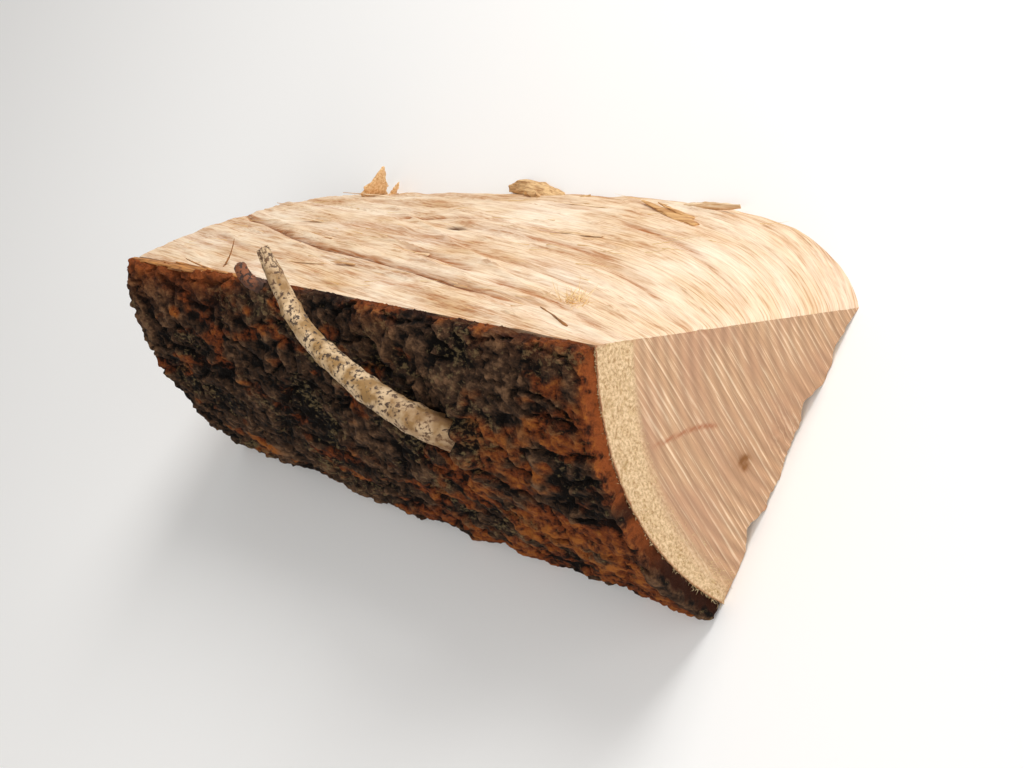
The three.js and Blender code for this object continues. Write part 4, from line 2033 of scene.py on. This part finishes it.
@dataclass
class Studio:
    """A plain pale floor, soft light from over the split face, and the camera."""

    trunk: Trunk
    camera_from_pith: tuple[float, float, float] = (591.5, -215.2, 540.7)
    target_from_pith: tuple[float, float, float] = (-84.0, -83.5, 76.0)
    up_hint: tuple[float, float, float] = (-0.2276, 0.9019, 0.367)
    lens: float = 73.0
    floor_reach: float = 8.0  # metres from the middle of the floor to its sides
    white_light: float = 0.42  # strength of the light from all round

    def floor(self) -> bpy.types.Object:
        """A wide plane under the log, in matt off-white paper.

        Returns:
            The floor.
        """
        mesh = bpy.data.meshes.new("floor")
        side = self.floor_reach
        corners = [(-side, -side, 0), (side, -side, 0), (side, side, 0), (-side, side, 0)]
        mesh.from_pydata(corners, [], [(0, 1, 2, 3)])
        floor = bpy.data.objects.new("floor", mesh)
        bpy.context.scene.collection.objects.link(floor)
        material, _, shader = new_material("pale_paper")
        shader.inputs["Base Color"].default_value = linear("#F7F5F2")
        shader.inputs["Roughness"].default_value = 0.9
        mesh.materials.append(material)
        return floor

    def light(self, name: str, place: tuple[float, float, float], size: float, watts: float) -> None:
        """A square soft light that looks at the log.

        Args:
            name: the light's name.
            place: where it hangs, in metres.
            size: its side, in metres.
            watts: its power.
        """
        data = bpy.data.lights.new(name, "AREA")
        data.shape, data.size, data.energy = "SQUARE", size, watts
        lamp = bpy.data.objects.new(name, data)
        aim = Vector((0.0, 0.0, 0.05)) - Vector(place)
        lamp.location = place
        lamp.rotation_mode = "QUATERNION"
        lamp.rotation_quaternion = aim.to_track_quat("-Z", "Y")
        bpy.context.scene.collection.objects.link(lamp)

    def camera(self) -> bpy.types.Object:
        """The camera, turned about its own axis so that the split face is level.

        Returns:
            The camera.
        """
        data = bpy.data.cameras.new("camera")
        data.lens = self.lens
        data.clip_start, data.clip_end = 0.01, 50
        camera = bpy.data.objects.new("camera", data)
        pith = Vector((self.trunk.front, self.trunk.pith_across, 0.0))
        place = (pith + Vector(self.camera_from_pith)) * MM
        target = (pith + Vector(self.target_from_pith)) * MM
        back = (place - target).normalized()
        right = Vector(self.up_hint).cross(back).normalized()
        up = back.cross(right)
        turn = Matrix((right, up, back)).transposed().to_4x4()
        camera.matrix_world = Matrix.Translation(place) @ turn
        bpy.context.scene.collection.objects.link(camera)
        bpy.context.scene.camera = camera
        return camera

    def build(self) -> None:
        """Sets up the floor, three soft lights, a white surrounding and the camera."""
        self.floor()
        self.light("key_light", (0.35, 1.15, 0.95), 0.7, 16.0)
        self.light("fill_light", (1.1, -1.3, 1.2), 1.2, 14.0)
        self.light("end_light", (1.6, 0.3, 0.5), 0.9, 7.0)
        world = bpy.data.worlds.new("white_room")
        world.use_nodes = True
        background = world.node_tree.nodes["Background"]
        background.inputs["Color"].default_value = (1.0, 1.0, 1.0, 1.0)
        background.inputs["Strength"].default_value = self.white_light
        bpy.context.scene.world = world
        bpy.context.scene.view_settings.view_transform = "Standard"
        self.camera()


def shoots(trunk: Trunk) -> list[Shoot]:
    """The long dead side shoot, and the short broken stub of another.

    Args:
        trunk: what they grow out of.

    Returns:
        Both, not yet built.
    """
    side_shoot = Shoot(
        trunk,
        name="dry_side_shoot",
        node="side_shoot",
        material_slot="shoot_bark",
        path=(
            (82, -102, 68),
            (91, -109.5, 76),
            (104, -111.5, 86),
            (126, -109, 97.5),
            (150, -103, 107),
            (178, -92.5, 118),
            (195, -78.5, 130),
            (206, -67, 139.5),
        ),
        radii=(6.7, 5.3, 3.0),
        finish=TwigBark(),
        seed=81,
    )
    stub = Shoot(
        trunk,
        name="broken_shoot_stub",
        node="shoot_stub",
        material_slot="stub_bark",
        path=((256, -74, 107), (257, -73.5, 112), (259.5, -71.5, 116), (263, -68, 118.5)),
        radii=(2.9, 2.7, 2.3),
        finish=TwigBark(light="#8A4E2A", mid="#54301C", dark="#1C0F08", warm="#3A2010"),
        seed=91,
        rings=60,
        sides=28,
        collar_length=3.0,
        collar_flare=1.6,
    )
    return [side_shoot, stub]


def main() -> None:
    """Builds the studio and every piece of the log, in order."""
    logging.basicConfig(level=logging.INFO, format="%(name)s: %(message)s")
    trunk = Trunk.from_frame()
    Studio(trunk).build()
    pieces = [SplitWood(trunk).build(), BarkLayer(trunk).build()]
    pieces += [shoot.build() for shoot in shoots(trunk)]
    pieces += TornWood(trunk).build()
    for piece in pieces:
        triangles = sum(len(face.vertices) - 2 for face in piece.data.polygons)
        LOG.info("%s: %d triangles", piece.name, triangles)
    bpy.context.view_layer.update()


if __name__ == "__main__":
    main()
